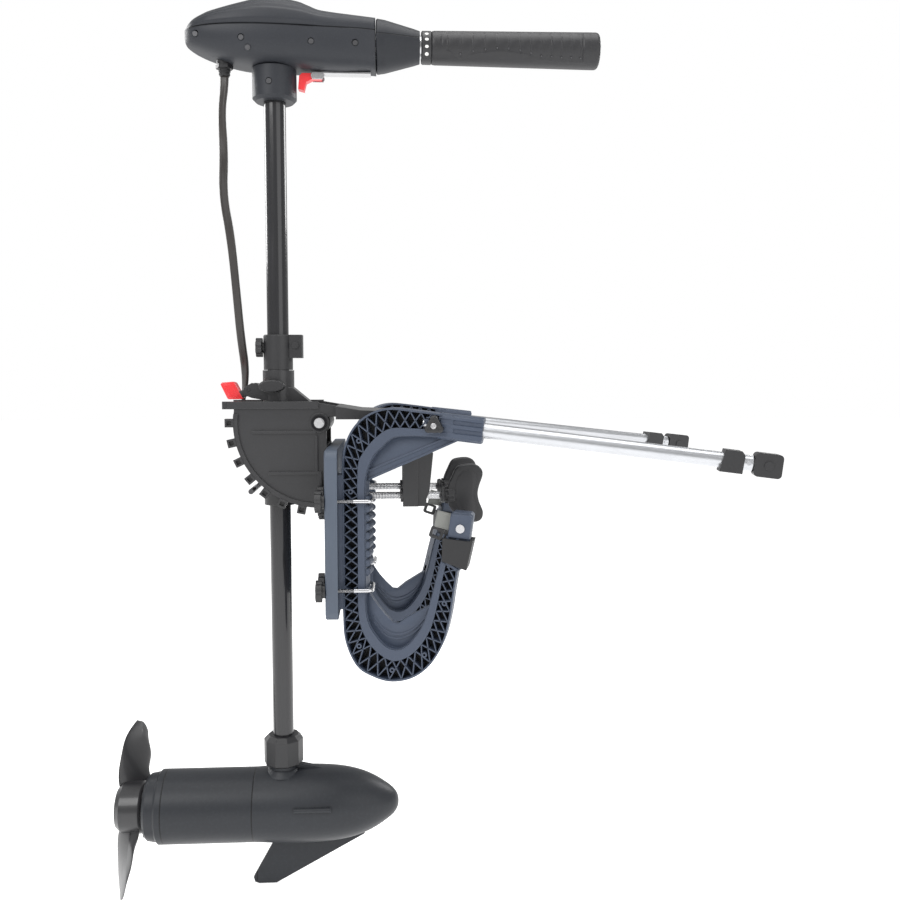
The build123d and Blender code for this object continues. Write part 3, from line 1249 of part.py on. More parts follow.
RING_R = 4.2
TERM_Z = COIL_Z - 14.0
with BuildPart() as ring_terminals:
    for x in (COIL_X - 9.0, COIL_X + 9.0):
        with BuildSketch(side(x, TERM_Z, COIL_Y + 10.0)):
            Circle(7.5)
            with Locations((0, 13.0)):
                Rectangle(6.0, 16.0)
            Circle(RING_R, mode=Mode.SUBTRACT)
        extrude(amount=1.0, both=True)
ring_terminals.part.label = "ring_terminals"
export_step(ring_terminals.part, "parts/ring_terminals.step")
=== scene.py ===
import math

import bmesh
import bpy
from mathutils import Matrix, Vector


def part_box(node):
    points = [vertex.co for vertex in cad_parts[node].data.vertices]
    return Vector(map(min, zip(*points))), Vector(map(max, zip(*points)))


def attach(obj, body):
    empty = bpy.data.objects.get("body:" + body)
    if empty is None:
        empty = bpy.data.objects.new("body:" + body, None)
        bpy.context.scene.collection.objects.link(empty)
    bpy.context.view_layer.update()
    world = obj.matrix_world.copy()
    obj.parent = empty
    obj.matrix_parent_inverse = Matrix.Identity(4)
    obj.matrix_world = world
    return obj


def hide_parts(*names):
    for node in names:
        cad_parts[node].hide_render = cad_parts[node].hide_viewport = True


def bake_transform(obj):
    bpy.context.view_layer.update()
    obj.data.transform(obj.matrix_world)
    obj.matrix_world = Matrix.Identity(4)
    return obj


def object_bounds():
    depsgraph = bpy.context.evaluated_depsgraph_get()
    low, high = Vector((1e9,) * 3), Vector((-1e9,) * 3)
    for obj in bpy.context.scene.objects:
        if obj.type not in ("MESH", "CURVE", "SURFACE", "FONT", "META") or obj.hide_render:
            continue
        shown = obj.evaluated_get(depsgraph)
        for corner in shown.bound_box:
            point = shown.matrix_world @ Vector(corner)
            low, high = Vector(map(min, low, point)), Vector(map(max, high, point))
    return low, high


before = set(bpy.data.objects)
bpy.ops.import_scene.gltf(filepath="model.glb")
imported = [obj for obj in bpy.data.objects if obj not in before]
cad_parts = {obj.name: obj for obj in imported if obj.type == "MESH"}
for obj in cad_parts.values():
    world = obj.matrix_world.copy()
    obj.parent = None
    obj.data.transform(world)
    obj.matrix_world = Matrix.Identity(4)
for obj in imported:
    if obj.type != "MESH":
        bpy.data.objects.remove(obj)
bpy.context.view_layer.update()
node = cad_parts

MM = 0.001
FINE = 0.000001       # merging distance of pieces with small detail
SIDES = (("port", 1), ("starboard", -1))
WHITE = (1.0, 1.0, 1.0, 1.0)


def put(name, data):
    """A new object in the scene."""
    made = bpy.data.objects.new(name, data)
    bpy.context.scene.collection.objects.link(made)
    return made


# ---- camera
def make_camera():
    data = bpy.data.cameras.new("camera")
    data.lens, data.sensor_width = 38.16, 36.0
    data.clip_start, data.clip_end = 0.05, 60.0
    camera = put("camera", data)
    camera.location = (-0.0117, -1.3075, 0.1905)
    camera.rotation_euler = Vector((0.06034, 0.99511, -0.07828)).to_track_quat("-Z", "Y").to_euler()
    bpy.context.scene.camera = camera


make_camera()


# ---- shader arithmetic
def math_node(operation, swapped=False):
    """A method that adds one Math node, its values in turn or the other way round."""
    def method(self, *others):
        values = (*others, self) if swapped else (self, *others)
        return self.maker.node("ShaderNodeMath", {"operation": operation}, values)
    return method


class Wire:
    """One output socket of a material; arithmetic on it adds Math nodes."""

    def __init__(self, maker, socket):
        self.maker, self.socket = maker, socket

    __add__, __radd__ = math_node("ADD"), math_node("ADD", True)
    __sub__, __rsub__ = math_node("SUBTRACT"), math_node("SUBTRACT", True)
    __mul__, __rmul__ = math_node("MULTIPLY"), math_node("MULTIPLY", True)
    __truediv__, __rtruediv__ = math_node("DIVIDE"), math_node("DIVIDE", True)
    __pow__, __abs__, sine = math_node("POWER"), math_node("ABSOLUTE"), math_node("SINE")
    above, below = math_node("GREATER_THAN"), math_node("LESS_THAN")

    def clamp(self):
        """Kept between 0 and 1."""
        return self.maker.node("ShaderNodeMath", {"operation": "ADD", "use_clamp": True}, [self, 0.0])

    def ramp(self, low, high):
        """0 at low, 1 at high, smooth between them."""
        return self.maker.node("ShaderNodeMapRange", {"interpolation_type": "SMOOTHSTEP"},
                               {"Value": self, "From Min": low, "From Max": high})


class Nodes:
    """A node tree whose nodes all come from node()."""

    def __init__(self, tree):
        self.tree = tree

    def feed(self, socket, value):
        """Links a wire to a socket, or sets the socket's own value."""
        if isinstance(value, Wire):
            self.tree.links.new(value.socket, socket)
        else:
            socket.default_value = value

    def node(self, kind, settings, inputs, output=0):
        """Adds one node: its settings first, then the values or links of its sockets."""
        n = self.tree.nodes.new(kind)
        for key, value in settings.items():
            setattr(n, key, value)
        for key, value in inputs.items() if isinstance(inputs, dict) else enumerate(inputs):
            self.feed(n.inputs[key], value)
        return Wire(self, n.outputs[output])


class Finish(Nodes):
    """A material in the making: its node tree, its Principled shader and its patterns."""

    def __init__(self, name, colour, roughness, metallic=0.0, **fixed):
        self.material = bpy.data.materials.new(name)
        self.material.use_nodes = True
        super().__init__(self.material.node_tree)
        self.shader = self.tree.nodes["Principled BSDF"]
        self.shader.inputs["Metallic"].default_value = metallic
        for socket, value in fixed.items():
            self.shader.inputs[socket.replace("_", " ")].default_value = value
        self.flat, self.colour, self.roughness, self.normal = colour, colour, roughness, None
        self.place = self.node("ShaderNodeTexCoord", {}, {}, "Object")

    def axis(self, letter):
        return self.node("ShaderNodeSeparateXYZ", {}, [self.place], letter)

    def noise(self, scale, detail=3.0, rough=0.55, stretch=None, bend=0.0):
        place = self.place
        if stretch:
            place = self.node("ShaderNodeMapping", {}, {"Vector": place, "Scale": stretch})
        return self.node("ShaderNodeTexNoise", {},
                         {"Vector": place, "Scale": scale, "Detail": detail, "Roughness": rough,
                          "Distortion": bend}, "Fac")

    def mix(self, share, a, b):
        """Colour between a and b."""
        def four(c):
            return c if isinstance(c, Wire) else (*c, 1.0)
        return self.node("ShaderNodeMix", {"data_type": "RGBA"}, {0: share, 6: four(a), 7: four(b)}, 2)

    def soft_edges(self, radius):
        """Rounds the edges by their shading, and gives a mask of where they are."""
        rounded = self.node("ShaderNodeBevel", {"samples": 6}, {"Radius": radius})
        self.normal = rounded
        true = self.node("ShaderNodeNewGeometry", {}, {}, "Normal")
        same = self.node("ShaderNodeVectorMath", {"operation": "DOT_PRODUCT"}, [rounded, true], "Value")
        return (1.0 - same).ramp(0.02, 0.22)

    def bump(self, height, distance):
        inputs = {"Height": height, "Distance": distance, "Strength": 1.0}
        if self.normal:
            inputs["Normal"] = self.normal
        self.normal = self.node("ShaderNodeBump", {}, inputs)

    def done(self):
        looks = {"Base Color": self.colour, "Roughness": self.roughness, "Normal": self.normal}
        for socket, value in looks.items():
            if value is not None:
                self.feed(self.shader.inputs[socket], value)
        self.material.diffuse_color = (*self.flat, 1.0)
        return self.material


def shade(colour, by):
    return tuple(min(1.0, c * by) for c in colour)


def moulded(name, colour, roughness, grain=0.00005, grain_scale=1500.0, edge=0.0006, wear=0.35, coat=0.0,
            seams=(), **fixed):
    """Moulded plastic or cast paint: mould grain, cloudy tone, paler rubbed edges, dark seams."""
    f = Finish(name, colour, roughness, Coat_Weight=coat, **fixed)
    rubbed = f.soft_edges(edge)
    cloud = f.noise(9.0, 4.0)
    speck = f.noise(grain_scale * 0.35, 2.0)
    scuff = f.noise(60.0, 5.0, 0.7, stretch=(1.0, 1.0, 0.35)).ramp(0.56, 0.74)
    tone = f.mix(cloud, shade(colour, 0.86), shade(colour, 1.14))
    tone = f.mix((speck.ramp(0.45, 0.75)) * 0.16, tone, shade(colour, 1.9))
    tone = f.mix(scuff * 0.10, tone, shade(colour, 1.7))
    tone = f.mix(rubbed * wear, tone, tuple(min(1.0, c * 1.6 + 0.03) for c in colour))
    rough = roughness + (cloud - 0.5) * 0.12 + scuff * 0.08 + rubbed * 0.05
    height = f.noise(grain_scale, 2.0, 0.6)
    for letter, at, half in seams:
        line = 1.0 - abs(f.axis(letter) - at).ramp(half * 0.5, half)
        tone = f.mix(line * 0.9, tone, shade(colour, 0.12))
        height = height - line * 6.0
    f.colour, f.roughness = tone, rough.clamp()
    f.bump(height, grain)
    return f.done()


def drawn_metal(name, colour, roughness, along, scratches=0.10, edge=0.0004, thread=None):
    """Drawn or turned metal: fine lines along one axis, faint tarnish, and rolled threads where asked, with
    painted shade in their grooves.
    """
    f = Finish(name, colour, roughness, 1.0)
    rubbed = f.soft_edges(edge)
    lines = f.noise(1.0, 3.0, 0.6, stretch=along)
    cloud = f.noise(22.0, 4.0)
    spots = f.noise(230.0, 2.0).ramp(0.66, 0.8)
    tone = f.mix(lines, shade(colour, 0.86), shade(colour, 1.06))
    tone = f.mix(cloud.ramp(0.35, 0.8) * 0.35, tone, shade(colour, 0.78))
    tone = f.mix(spots * 0.25, tone, shade(colour, 0.5))
    tone = f.mix(rubbed * 0.4, tone, shade(colour, 1.25))
    f.colour = tone
    f.roughness = (roughness + (lines - 0.5) * scratches + (cloud - 0.5) * 0.10 + spots * 0.15).clamp()
    height = lines
    if thread:
        letter, pitch, low, high = thread
        way = f.axis(letter)
        here = way.above(low) * way.below(high)
        crest = (way * (2.0 * math.pi / pitch)).sine()
        height = height * 0.1 + crest * here * 4.0
        # painted shade: the thread's grooves, the troughs of the crest wave, are darkened
        f.colour = f.mix(crest.ramp(-0.2, -1.0) * here * 0.7, tone, shade(colour, 0.25))
    f.bump(height, 0.00008 if thread else 0.00003)
    return f.done()


# ---- finishes
CHARCOAL = (0.024, 0.026, 0.031)
MOTOR_PAINT = (0.022, 0.024, 0.028)
BLACK = (0.014, 0.014, 0.0155)
BLUE_GREY = (0.038, 0.051, 0.080)
BOARD_GREY = (0.058, 0.074, 0.102)
STEEL = (0.56, 0.56, 0.57)
ALUMINIUM = (0.52, 0.53, 0.55)
RED = (0.72, 0.022, 0.028)
COPPER = (0.66, 0.33, 0.17)
VINYL = (0.020, 0.018, 0.017)
WEBBING = (0.235, 0.24, 0.225)

# how closely a metal's lines lie along X, Y and Z
ALL_WAYS = (300.0, 300.0, 300.0)
TURNED = (60.0, 500.0, 500.0)
DRAWN = (14.0, 700.0, 700.0)
BOLT_PITCH = 0.00125
DOTS = (0.62, 0.22, -0.22, -0.62)    # heights of the speed ring's dots, over its radius
YARN_WIDE, YARN_LONG = 1.6, 2.2      # repeat of the weave across and along a strap, in mm

HEAD_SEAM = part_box("head_upper_cover")[0].z
NECK_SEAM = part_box("tiller_neck")[0].x
TUBE_LOW, TUBE_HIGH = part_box("motor_tube")

charcoal = moulded("charcoal", CHARCOAL, 0.46, seams=(("Z", HEAD_SEAM, 0.0009), ("X", NECK_SEAM, 0.0012)),
                   Specular_IOR_Level=0.26)
neck_charcoal = moulded("neck_charcoal", shade(CHARCOAL, 0.8), 0.42,
                        seams=(("Z", HEAD_SEAM - 0.0035, 0.0007),), Specular_IOR_Level=0.24)
motor_paint = moulded("motor_paint", MOTOR_PAINT, 0.40, grain=0.00002, grain_scale=700.0, wear=0.30,
                      seams=(("X", TUBE_LOW.x, 0.0011), ("X", TUBE_HIGH.x, 0.0011)), Specular_IOR_Level=0.27)
black_plastic = moulded("black_plastic", BLACK, 0.44)
grip_black = moulded("grip_black", shade(BLACK, 1.15), 0.44, grain=0.00006, Specular_IOR_Level=0.42)
bracket_black = moulded("bracket_black", shade(BLACK, 1.15), 0.42, grain=0.00006, grain_scale=1100.0,
                        edge=0.0009, wear=0.5, coat=0.15)
blue_grey = moulded("blue_grey", BLUE_GREY, 0.52, grain=0.00005, edge=0.0009, wear=0.45)
blade_black = moulded("blade_black", shade(BLACK, 1.2), 0.34, grain=0.00002, edge=0.0005, coat=0.2)
red_plastic = moulded("red_plastic", RED, 0.34, grain=0.00002, edge=0.0006, wear=0.2, coat=0.3)
rubber = moulded("rubber", shade(BLACK, 0.8), 0.62, grain=0.00008, wear=0.15)
magnet_grey = moulded("magnet_grey", (0.07, 0.07, 0.072), 0.55)
steel = drawn_metal("steel", STEEL, 0.24, ALL_WAYS)
bolt_steel = drawn_metal("bolt_steel", STEEL, 0.22, TURNED,
                         thread=("X", BOLT_PITCH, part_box("u_bolts")[0].x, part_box("mount_board")[1].x + 0.02))
screw_steel = drawn_metal("screw_steel", STEEL, 0.26, TURNED)
aluminium = drawn_metal("aluminium", ALUMINIUM, 0.32, DRAWN, scratches=0.16)
copper = drawn_metal("copper", COPPER, 0.32, (200.0, 200.0, 200.0))


def shaft_finish():
    """Glossy pultruded composite: long faint strands and a wiped, slightly hazed surface."""
    f = Finish("shaft_black", BLACK, 0.16, Coat_Weight=0.35, Coat_Roughness=0.06, Specular_IOR_Level=0.35)
    f.soft_edges(0.0005)
    strands = f.noise(1.0, 4.0, 0.65, stretch=(900.0, 900.0, 6.0))
    haze = f.noise(6.0, 4.0, 0.6, stretch=(1.0, 1.0, 0.3))
    rubbed = f.noise(30.0, 4.0, 0.7, stretch=(1.0, 1.0, 0.1)).ramp(0.55, 0.75)
    tone = f.mix(strands, shade(BLACK, 0.75), shade(BLACK, 1.5))
    f.colour = f.mix(rubbed * 0.25, tone, shade(BLACK, 2.2))
    f.roughness = (0.13 + haze * 0.12 + rubbed * 0.12).clamp()
    f.bump(strands, 0.00003)
    return f.done()


def board_finish():
    """Sheet polymer: fine milled lines on its cut edges, paler rubbed corners, faint scratches."""
    f = Finish("board", BOARD_GREY, 0.48)
    rubbed = f.soft_edges(0.0009)
    cloud = f.noise(14.0, 4.0)
    lines = f.noise(1.0, 3.0, 0.6, stretch=(900.0, 40.0, 25.0))
    scratch = f.noise(1.0, 3.0, 0.7, stretch=(40.0, 700.0, 30.0), bend=0.5).ramp(0.60, 0.72)
    tone = f.mix(cloud, shade(BOARD_GREY, 0.9), shade(BOARD_GREY, 1.12))
    tone = f.mix(lines.ramp(0.35, 0.7) * 0.18, tone, shade(BOARD_GREY, 1.35))
    tone = f.mix(scratch * 0.22, tone, shade(BOARD_GREY, 1.5))
    f.colour = f.mix(rubbed * 0.5, tone, shade(BOARD_GREY, 1.6))
    f.roughness = (0.44 + cloud * 0.12 + scratch * 0.1).clamp()
    f.bump(lines + f.noise(1300.0) * 0.5, 0.00005)
    return f.done()


def pivot_finish():
    """Blackened washers round a bright hexagon, with tool marks on both."""
    low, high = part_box("tilt_pivot_bolt")
    f = Finish("pivot_steel", shade(STEEL, 0.3), 0.34, 0.9)
    away = ((f.axis("X") - (low.x + high.x) / 2) ** 2 + (f.axis("Z") - (low.z + high.z) / 2) ** 2) ** 0.5
    hexagon = away.ramp(0.0070, 0.0064)
    marks = f.noise(1.0, 3.0, 0.6, stretch=(500.0, 60.0, 500.0))
    rubbed = f.soft_edges(0.0004)
    dark = f.mix(rubbed * 0.5, (0.020, 0.020, 0.022), (0.12, 0.12, 0.125))
    f.colour = f.mix(hexagon, dark, f.mix(marks, shade(STEEL, 0.85), shade(STEEL, 1.15)))
    f.roughness = 0.34 + (marks - 0.5) * 0.12
    f.bump(marks, 0.00003)
    return f.done()


def ring_finish():
    """Speed ring: black moulding with four painted white dots spaced around it."""
    low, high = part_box("grip_speed_ring")
    f = Finish("speed_ring", BLACK, 0.42)
    rubbed = f.soft_edges(0.0006)
    cloud = f.noise(30.0, 4.0)
    up = (f.axis("Z") - (low.z + high.z) / 2) / ((high.z - low.z) / 2)
    along = (f.axis("X") - low.x) / (high.x - low.x)
    near = f.axis("Y").below(0.0)
    dots = 0.0
    for at in DOTS:
        away = ((up - at) ** 2 + ((along - 0.5) * 0.5) ** 2) ** 0.5
        dots = dots + away.ramp(0.095, 0.080)
    dots = (dots * near).clamp() * (0.75 + 0.25 * f.noise(400.0).ramp(0.3, 0.6))
    tone = f.mix(cloud, shade(BLACK, 0.9), shade(BLACK, 1.3))
    tone = f.mix(rubbed * 0.3, tone, shade(BLACK, 3.0))
    f.colour = f.mix(dots, tone, (0.78, 0.78, 0.76))
    f.roughness = (0.42 + (cloud - 0.5) * 0.1 + dots * 0.1).clamp()
    f.bump(f.noise(1400.0) + dots * 1.5, 0.00005)
    return f.done()


def cable_finish():
    """Soft vinyl twin lead: near black with a faint brown sheen, handling marks and a fine skin."""
    f = Finish("cable_black", VINYL, 0.36, Sheen_Weight=0.15, Sheen_Roughness=0.4)
    cloud = f.noise(28.0, 4.0)
    smear = f.noise(120.0, 4.0, 0.7).ramp(0.55, 0.75)
    tone = f.mix(cloud, shade(VINYL, 0.8), (0.030, 0.025, 0.022))
    f.colour = f.mix(smear * 0.2, tone, (0.052, 0.048, 0.044))
    f.roughness = (0.32 + cloud * 0.12 + smear * 0.12).clamp()
    f.bump(f.noise(1800.0, 2.0) + cloud * 2.0, 0.00004)
    return f.done()


def webbing_finish():
    """Woven strap: over and under yarns from the strap's own map, painted shade in the weave's hollows, frayed
    tone, soft sheen.
    """
    f = Finish("webbing", WEBBING, 0.82, Sheen_Weight=0.3)
    chart = f.node("ShaderNodeUVMap", {"uv_map": "strap"}, {})
    across = f.node("ShaderNodeSeparateXYZ", {}, [chart], "X") * (2 * math.pi / YARN_WIDE)
    along = f.node("ShaderNodeSeparateXYZ", {}, [chart], "Y") * (2 * math.pi / YARN_LONG)
    weave = (across.sine() * along.sine()) * 0.5 + 0.5
    wave = (across * 2.0).sine() * 0.5 + 0.5
    fray = f.noise(900.0, 3.0)
    # painted shade and light: the yarns are darker where the weave dips and paler where it rises
    tone = f.mix(weave, shade(WEBBING, 0.55), shade(WEBBING, 1.15))
    tone = f.mix(wave * 0.25, tone, shade(WEBBING, 0.8))
    f.colour = f.mix(fray * 0.3, tone, shade(WEBBING, 1.3))
    f.roughness = (0.74 + fray * 0.2).clamp()
    f.bump(weave + wave * 0.5 + fray * 0.4, 0.0004)
    return f.done()


dark_steel = drawn_metal("dark_steel", (0.10, 0.10, 0.105), 0.38, ALL_WAYS)
# near-black finish of the channel floors: painted shade in the recess between the bracket's ribs
painted_shade_pit = moulded("painted_shade_pit", shade(BLACK, 0.45), 0.7, wear=0.1)
shaft_black = shaft_finish()
board_grey = board_finish()
pivot_steel = pivot_finish()
ring_black = ring_finish()
cable_black = cable_finish()
webbing = webbing_finish()

# finishes of the nodes that keep their CAD mesh
DRESS = {
    charcoal: ("head_lower_cover",),
    neck_charcoal: ("tiller_neck",),
    motor_paint: ("motor_tube", "motor_nose_housing", "motor_end_cap"),
    shaft_black: ("shaft_tube",),
    black_plastic: ("depth_collar", "depth_collar_knob", "steering_tension_knob", "pole_end_port",
                    "pole_end_starboard", "u_bolt_nuts", "cable_gland", "speed_switch", "shaft_nut",
                    "strap_buckles", "clamp_pad_port", "clamp_pad_starboard", "propeller_nut"),
    bracket_black: ("transom_bracket", "steering_hub"),
    grip_black: ("grip_end_cap",),
    ring_black: ("grip_speed_ring",),
    blue_grey: ("saddle_wedges",),
    board_grey: ("mount_board",),
    aluminium: ("pole_port", "pole_starboard"),
    pivot_steel: ("tilt_pivot_bolt",),
    steel: ("hook_tip_rivets", "tiller_tube", "throttle_rod", "motor_bearings", "propeller_shaft",
            "motor_through_bolts", "tiller_latch_strip", "ring_terminals"),
    dark_steel: ("cover_screws", "tilt_lock_bar"),
    bolt_steel: ("u_bolts",),
    red_plastic: ("tiller_trigger",),
    blade_black: ("propeller",),
    rubber: ("hook_tip_boots", "shaft_seal"),
    magnet_grey: ("field_magnets", "brush_gear", "armature"),
    copper: ("commutator", "motor_leads"),
}
for finish, names in DRESS.items():
    for name in names:
        node[name].data.materials.clear()
        node[name].data.materials.append(finish)


# ---- workshop
def finished(name, bm, finish, body, crisp=34.0, merge=0.00001):
    """Closes a bmesh into a piece that rides on a body; edges sharper than crisp degrees stay crisp."""
    bmesh.ops.remove_doubles(bm, verts=bm.verts[:], dist=merge)
    bmesh.ops.recalc_face_normals(bm, faces=bm.faces[:])
    limit = math.radians(crisp)
    for f in bm.faces:
        f.smooth = True
    for e in bm.edges:
        e.smooth = not (len(e.link_faces) == 2 and e.calc_face_angle(0.0) > limit)
    mesh = bpy.data.meshes.new(name)
    bm.to_mesh(mesh)
    bm.free()
    mesh.materials.append(finish)
    piece = put(name, mesh)
    if body:
        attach(piece, body)
    return piece


def soften(bm, width, segments=2, angle=30.0, edges=None):
    """Rounds the edges that are sharper than angle degrees."""
    if edges is None:
        edges = [e for e in bm.edges if len(e.link_faces) == 2
                 and e.calc_face_angle(0.0) > math.radians(angle)]
    bmesh.ops.bevel(bm, geom=edges, offset=width, offset_type="OFFSET", segments=segments, profile=0.5,
                    affect="EDGES", clamp_overlap=True, material=-1)


def turned(outline, steps):
    """A new bmesh: an (axial, radius) outline spun round local X."""
    bm = bmesh.new()
    verts = [bm.verts.new((a, r, 0.0)) for a, r in outline]
    edges = [bm.edges.new(pair) for pair in zip(verts, verts[1:])]
    bmesh.ops.spin(bm, geom=verts + edges, cent=(0, 0, 0), axis=(1, 0, 0), angle=2 * math.pi, steps=steps,
                   use_merge=True, use_duplicate=False)
    bmesh.ops.remove_doubles(bm, verts=bm.verts[:], dist=0.000002)
    return bm


def prism(bm, outline, low, high):
    """Extrudes a closed (x, y) outline along local Z from low to high."""
    verts = [bm.verts.new((x, y, low)) for x, y in outline]
    face = bm.faces.new(verts)
    made = bmesh.ops.extrude_face_region(bm, geom=[face])
    moved = [g for g in made["geom"] if isinstance(g, bmesh.types.BMVert)]
    bmesh.ops.translate(bm, verts=moved, vec=(0, 0, high - low))


def slab(outline, low, high, width, segments=2, angle=40.0):
    """A new bmesh: a plate cut to a closed outline, its edges rounded."""
    bm = bmesh.new()
    prism(bm, outline, low, high)
    bmesh.ops.recalc_face_normals(bm, faces=bm.faces[:])
    soften(bm, width, segments, angle)
    return bm


def place(bm, matrix):
    bmesh.ops.transform(bm, matrix=matrix, verts=bm.verts[:])


def adopt(bm, part, matrix=None):
    """Moves the faces of one bmesh into another, set in place by the matrix."""
    if matrix is not None:
        place(part, matrix)
    keep = bpy.data.meshes.new("part")
    part.to_mesh(keep)
    part.free()
    bm.from_mesh(keep)
    bpy.data.meshes.remove(keep)


def in_mm(points):
    return [(a * MM, b * MM) for a, b in points]


def round_outline(radius, count, squash=1.0):
    """A circle or an ellipse as a closed outline."""
    return [(radius * math.cos(2 * math.pi * k / count), radius * squash * math.sin(2 * math.pi * k / count))
            for k in range(count)]


def ease(x, a, b):
    """0 at a, 1 at b, smooth between them."""
    k = min(1.0, max(0.0, (x - a) / (b - a)))
    return k * k * (3 - 2 * k)


def between(p0, p1, p2, p3, t):
    """A point on the smooth curve from p1 to p2."""
    return 0.5 * (2 * p1 + (p2 - p0) * t + (2 * p0 - 5 * p1 + 4 * p2 - p3) * t ** 2
                  + (3 * p1 - p0 - 3 * p2 + p3) * t ** 3)


def smooth_loop(points, per):
    """A closed smooth outline through a few points."""
    at = [Vector(p) for p in points]
    n = len(at)
    return [tuple(between(at[i - 1], at[i], at[(i + 1) % n], at[(i + 2) % n], j / per))
            for i in range(n) for j in range(per)]


def flow(points, per=6):
    """A smooth open line through points."""
    at = [Vector(p) for p in points]
    at = [at[0]] + at + [at[-1]]
    return [between(*at[i:i + 4], j / per) for i in range(len(at) - 3) for j in range(per)] + [at[-1]]


def frame_at(origin, x, z):
    """Matrix with local X along x and local Z along z."""
    x, z = Vector(x).normalized(), Vector(z).normalized()
    y = z.cross(x)
    m = Matrix((x, y, z)).transposed().to_4x4()
    m.translation = Vector(origin)
    return m


def centre(name):
    low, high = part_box(name)
    return (low + high) / 2


# ---- battery cable
coil_low, coil_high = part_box("battery_cable_coil")
coil = centre("battery_cable_coil")
GLAND_X = centre("cable_gland").x
RUN_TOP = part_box("battery_cable_run")[1].z
LEAD_WIDE, LEAD_THICK = 0.0114, 0.0058
COIL_R = 0.0576
COIL_MARGIN = 0.0065      # from the coil's sides to the middle of its first and last turn
TURNS = 2.58
PER_TURN = 16
COIL_START = math.radians(170.0)
TIE_AT, TIE_R = math.radians(-35.0), 0.057
# from the gland down to the coil, in mm from the gland's axis; z is a height
RUN = ((0, 0, RUN_TOP / MM), (0, 0, 572), (-5, 1, 538), (-3, 3, 484), (-6, 5, 430), (3, 9, 376),
       (8, 20, 296), (10, 34, 243), (14, 52, 192), (7, 64, 150))
# inward curl that brings the end down over the terminals, in mm from the coil's middle
CURL = ((48, 31), (33, 43), (17, 44), (5, 36), (0, 25), (0, 14))


def cable_route():
    """Control points of the lead: down beside the shaft, round the stowed coil, inward to the terminals."""
    pts = [(GLAND_X + x * MM, y * MM, z * MM) for x, y, z in RUN]
    low, high = coil_low.y + COIL_MARGIN, coil_high.y - COIL_MARGIN
    count = int(PER_TURN * TURNS) + 1
    for i in range(count):
        a = COIL_START + 2 * math.pi * i / PER_TURN
        y = low + (high - low) * min(1.0, max(0.0, (i - 3) / (count - 6)))
        pts.append((coil.x + COIL_R * math.cos(a), y, coil.z + COIL_R * math.sin(a)))
    return pts + [(coil.x + x * MM, high, coil.z + z * MM) for x, z in CURL]


def route_line(points, resolution=12):
    """Points read from the smooth spline through the route."""
    curve = bpy.data.curves.new("route", "CURVE")
    curve.dimensions = "3D"
    spline = curve.splines.new("NURBS")
    spline.points.add(len(points) - 1)
    for p, at in zip(spline.points, points):
        p.co = (*at, 1.0)
    spline.order_u = 3
    spline.use_endpoint_u = True
    spline.resolution_u = resolution
    holder = put("route", curve)
    bpy.context.view_layer.update()
    mesh = bpy.data.meshes.new_from_object(holder)
    line = [v.co.copy() for v in mesh.vertices]
    bpy.data.objects.remove(holder)
    bpy.data.meshes.remove(mesh)
    bpy.data.curves.remove(curve)
    return line


def length_of(line):
    return sum((b - a).length for a, b in zip(line, line[1:]))


def tube_along(bm, line, section, roll=None):
    """Sweeps a closed section of (across, up) points along a line, turned by roll(share of the length)."""
    total, run, rings = length_of(line), 0.0, []
    for i, p in enumerate(line):
        if i:
            run += (p - line[i - 1]).length
        t = (line[min(i + 1, len(line) - 1)] - line[max(i - 1, 0)]).normalized()
        across = Vector((0, 1, 0))
        across = (across - across.dot(t) * t).normalized()
        up = t.cross(across)
        turn = roll(run / total) if roll else 0.0
        c, s = math.cos(turn), math.sin(turn)
        a, b = across * c + up * s, up * c - across * s
        rings.append([bm.verts.new(p + a * u + b * v) for u, v in section])
    for r0, r1 in zip(rings, rings[1:]):
        n = len(r0)
        for k in range(n):
            bm.faces.new((r0[k], r0[(k + 1) % n], r1[(k + 1) % n], r1[k]))
    bm.faces.new(rings[0])
    bm.faces.new(rings[-1])


def twin_section():
    """Two round cores side by side with a shallow web between them."""
    r = LEAD_THICK / 2
    pts = []
    for side, first in ((1, -112), (-1, 68)):
        for k in range(9):
            a = math.radians(first + 28 * k)
            pts.append((side * (LEAD_WIDE / 2 - r) + r * math.cos(a), r * math.sin(a)))
    return pts


cable_line = route_line(cable_route())
RUN_SHARE = length_of(route_line(cable_route()[:len(RUN)])) / length_of(cable_line)


def cable_roll(share):
    """The flat lead shows its face at the gland, twists on its way down and lies flat in the coil."""
    way = min(1.0, share / RUN_SHARE)
    twist = 38.0 * math.sin(math.pi * way * 4.0) * (1 - way)
    return math.radians(90.0 + 90.0 * max(0.0, way - 0.85) / 0.15 + twist)


def make_lead():
    bm = bmesh.new()
    tube_along(bm, cable_line, twin_section(), cable_roll)
    lead = finished("battery_cable", bm, cable_black, None, crisp=60.0)
    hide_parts("battery_cable_run", "battery_cable_coil")
    return lead


def make_relief():
    """Ribbed tapered sleeve where the lead leaves the head."""
    low = RUN_TOP - 0.009
    outline = [(0.0, 0.0052), (0.0, 0.0062)]
    for i in range(5):
        z = 0.0015 + i * 0.0040
        r = 0.0064 + i * 0.00045
        outline += [(z, r), (z + 0.0004, r + 0.0009), (z + 0.0022, r + 0.0009), (z + 0.0026, r)]
    outline += [(0.024, 0.0088), (0.030, 0.0088), (0.030, 0.0052)]
    bm = turned(outline + [outline[0]], 40)
    place(bm, frame_at((GLAND_X, 0.0, low), (0, 0, 1), (1, 0, 0)))
    finished("cable_strain_relief", bm, rubber, "shaft")


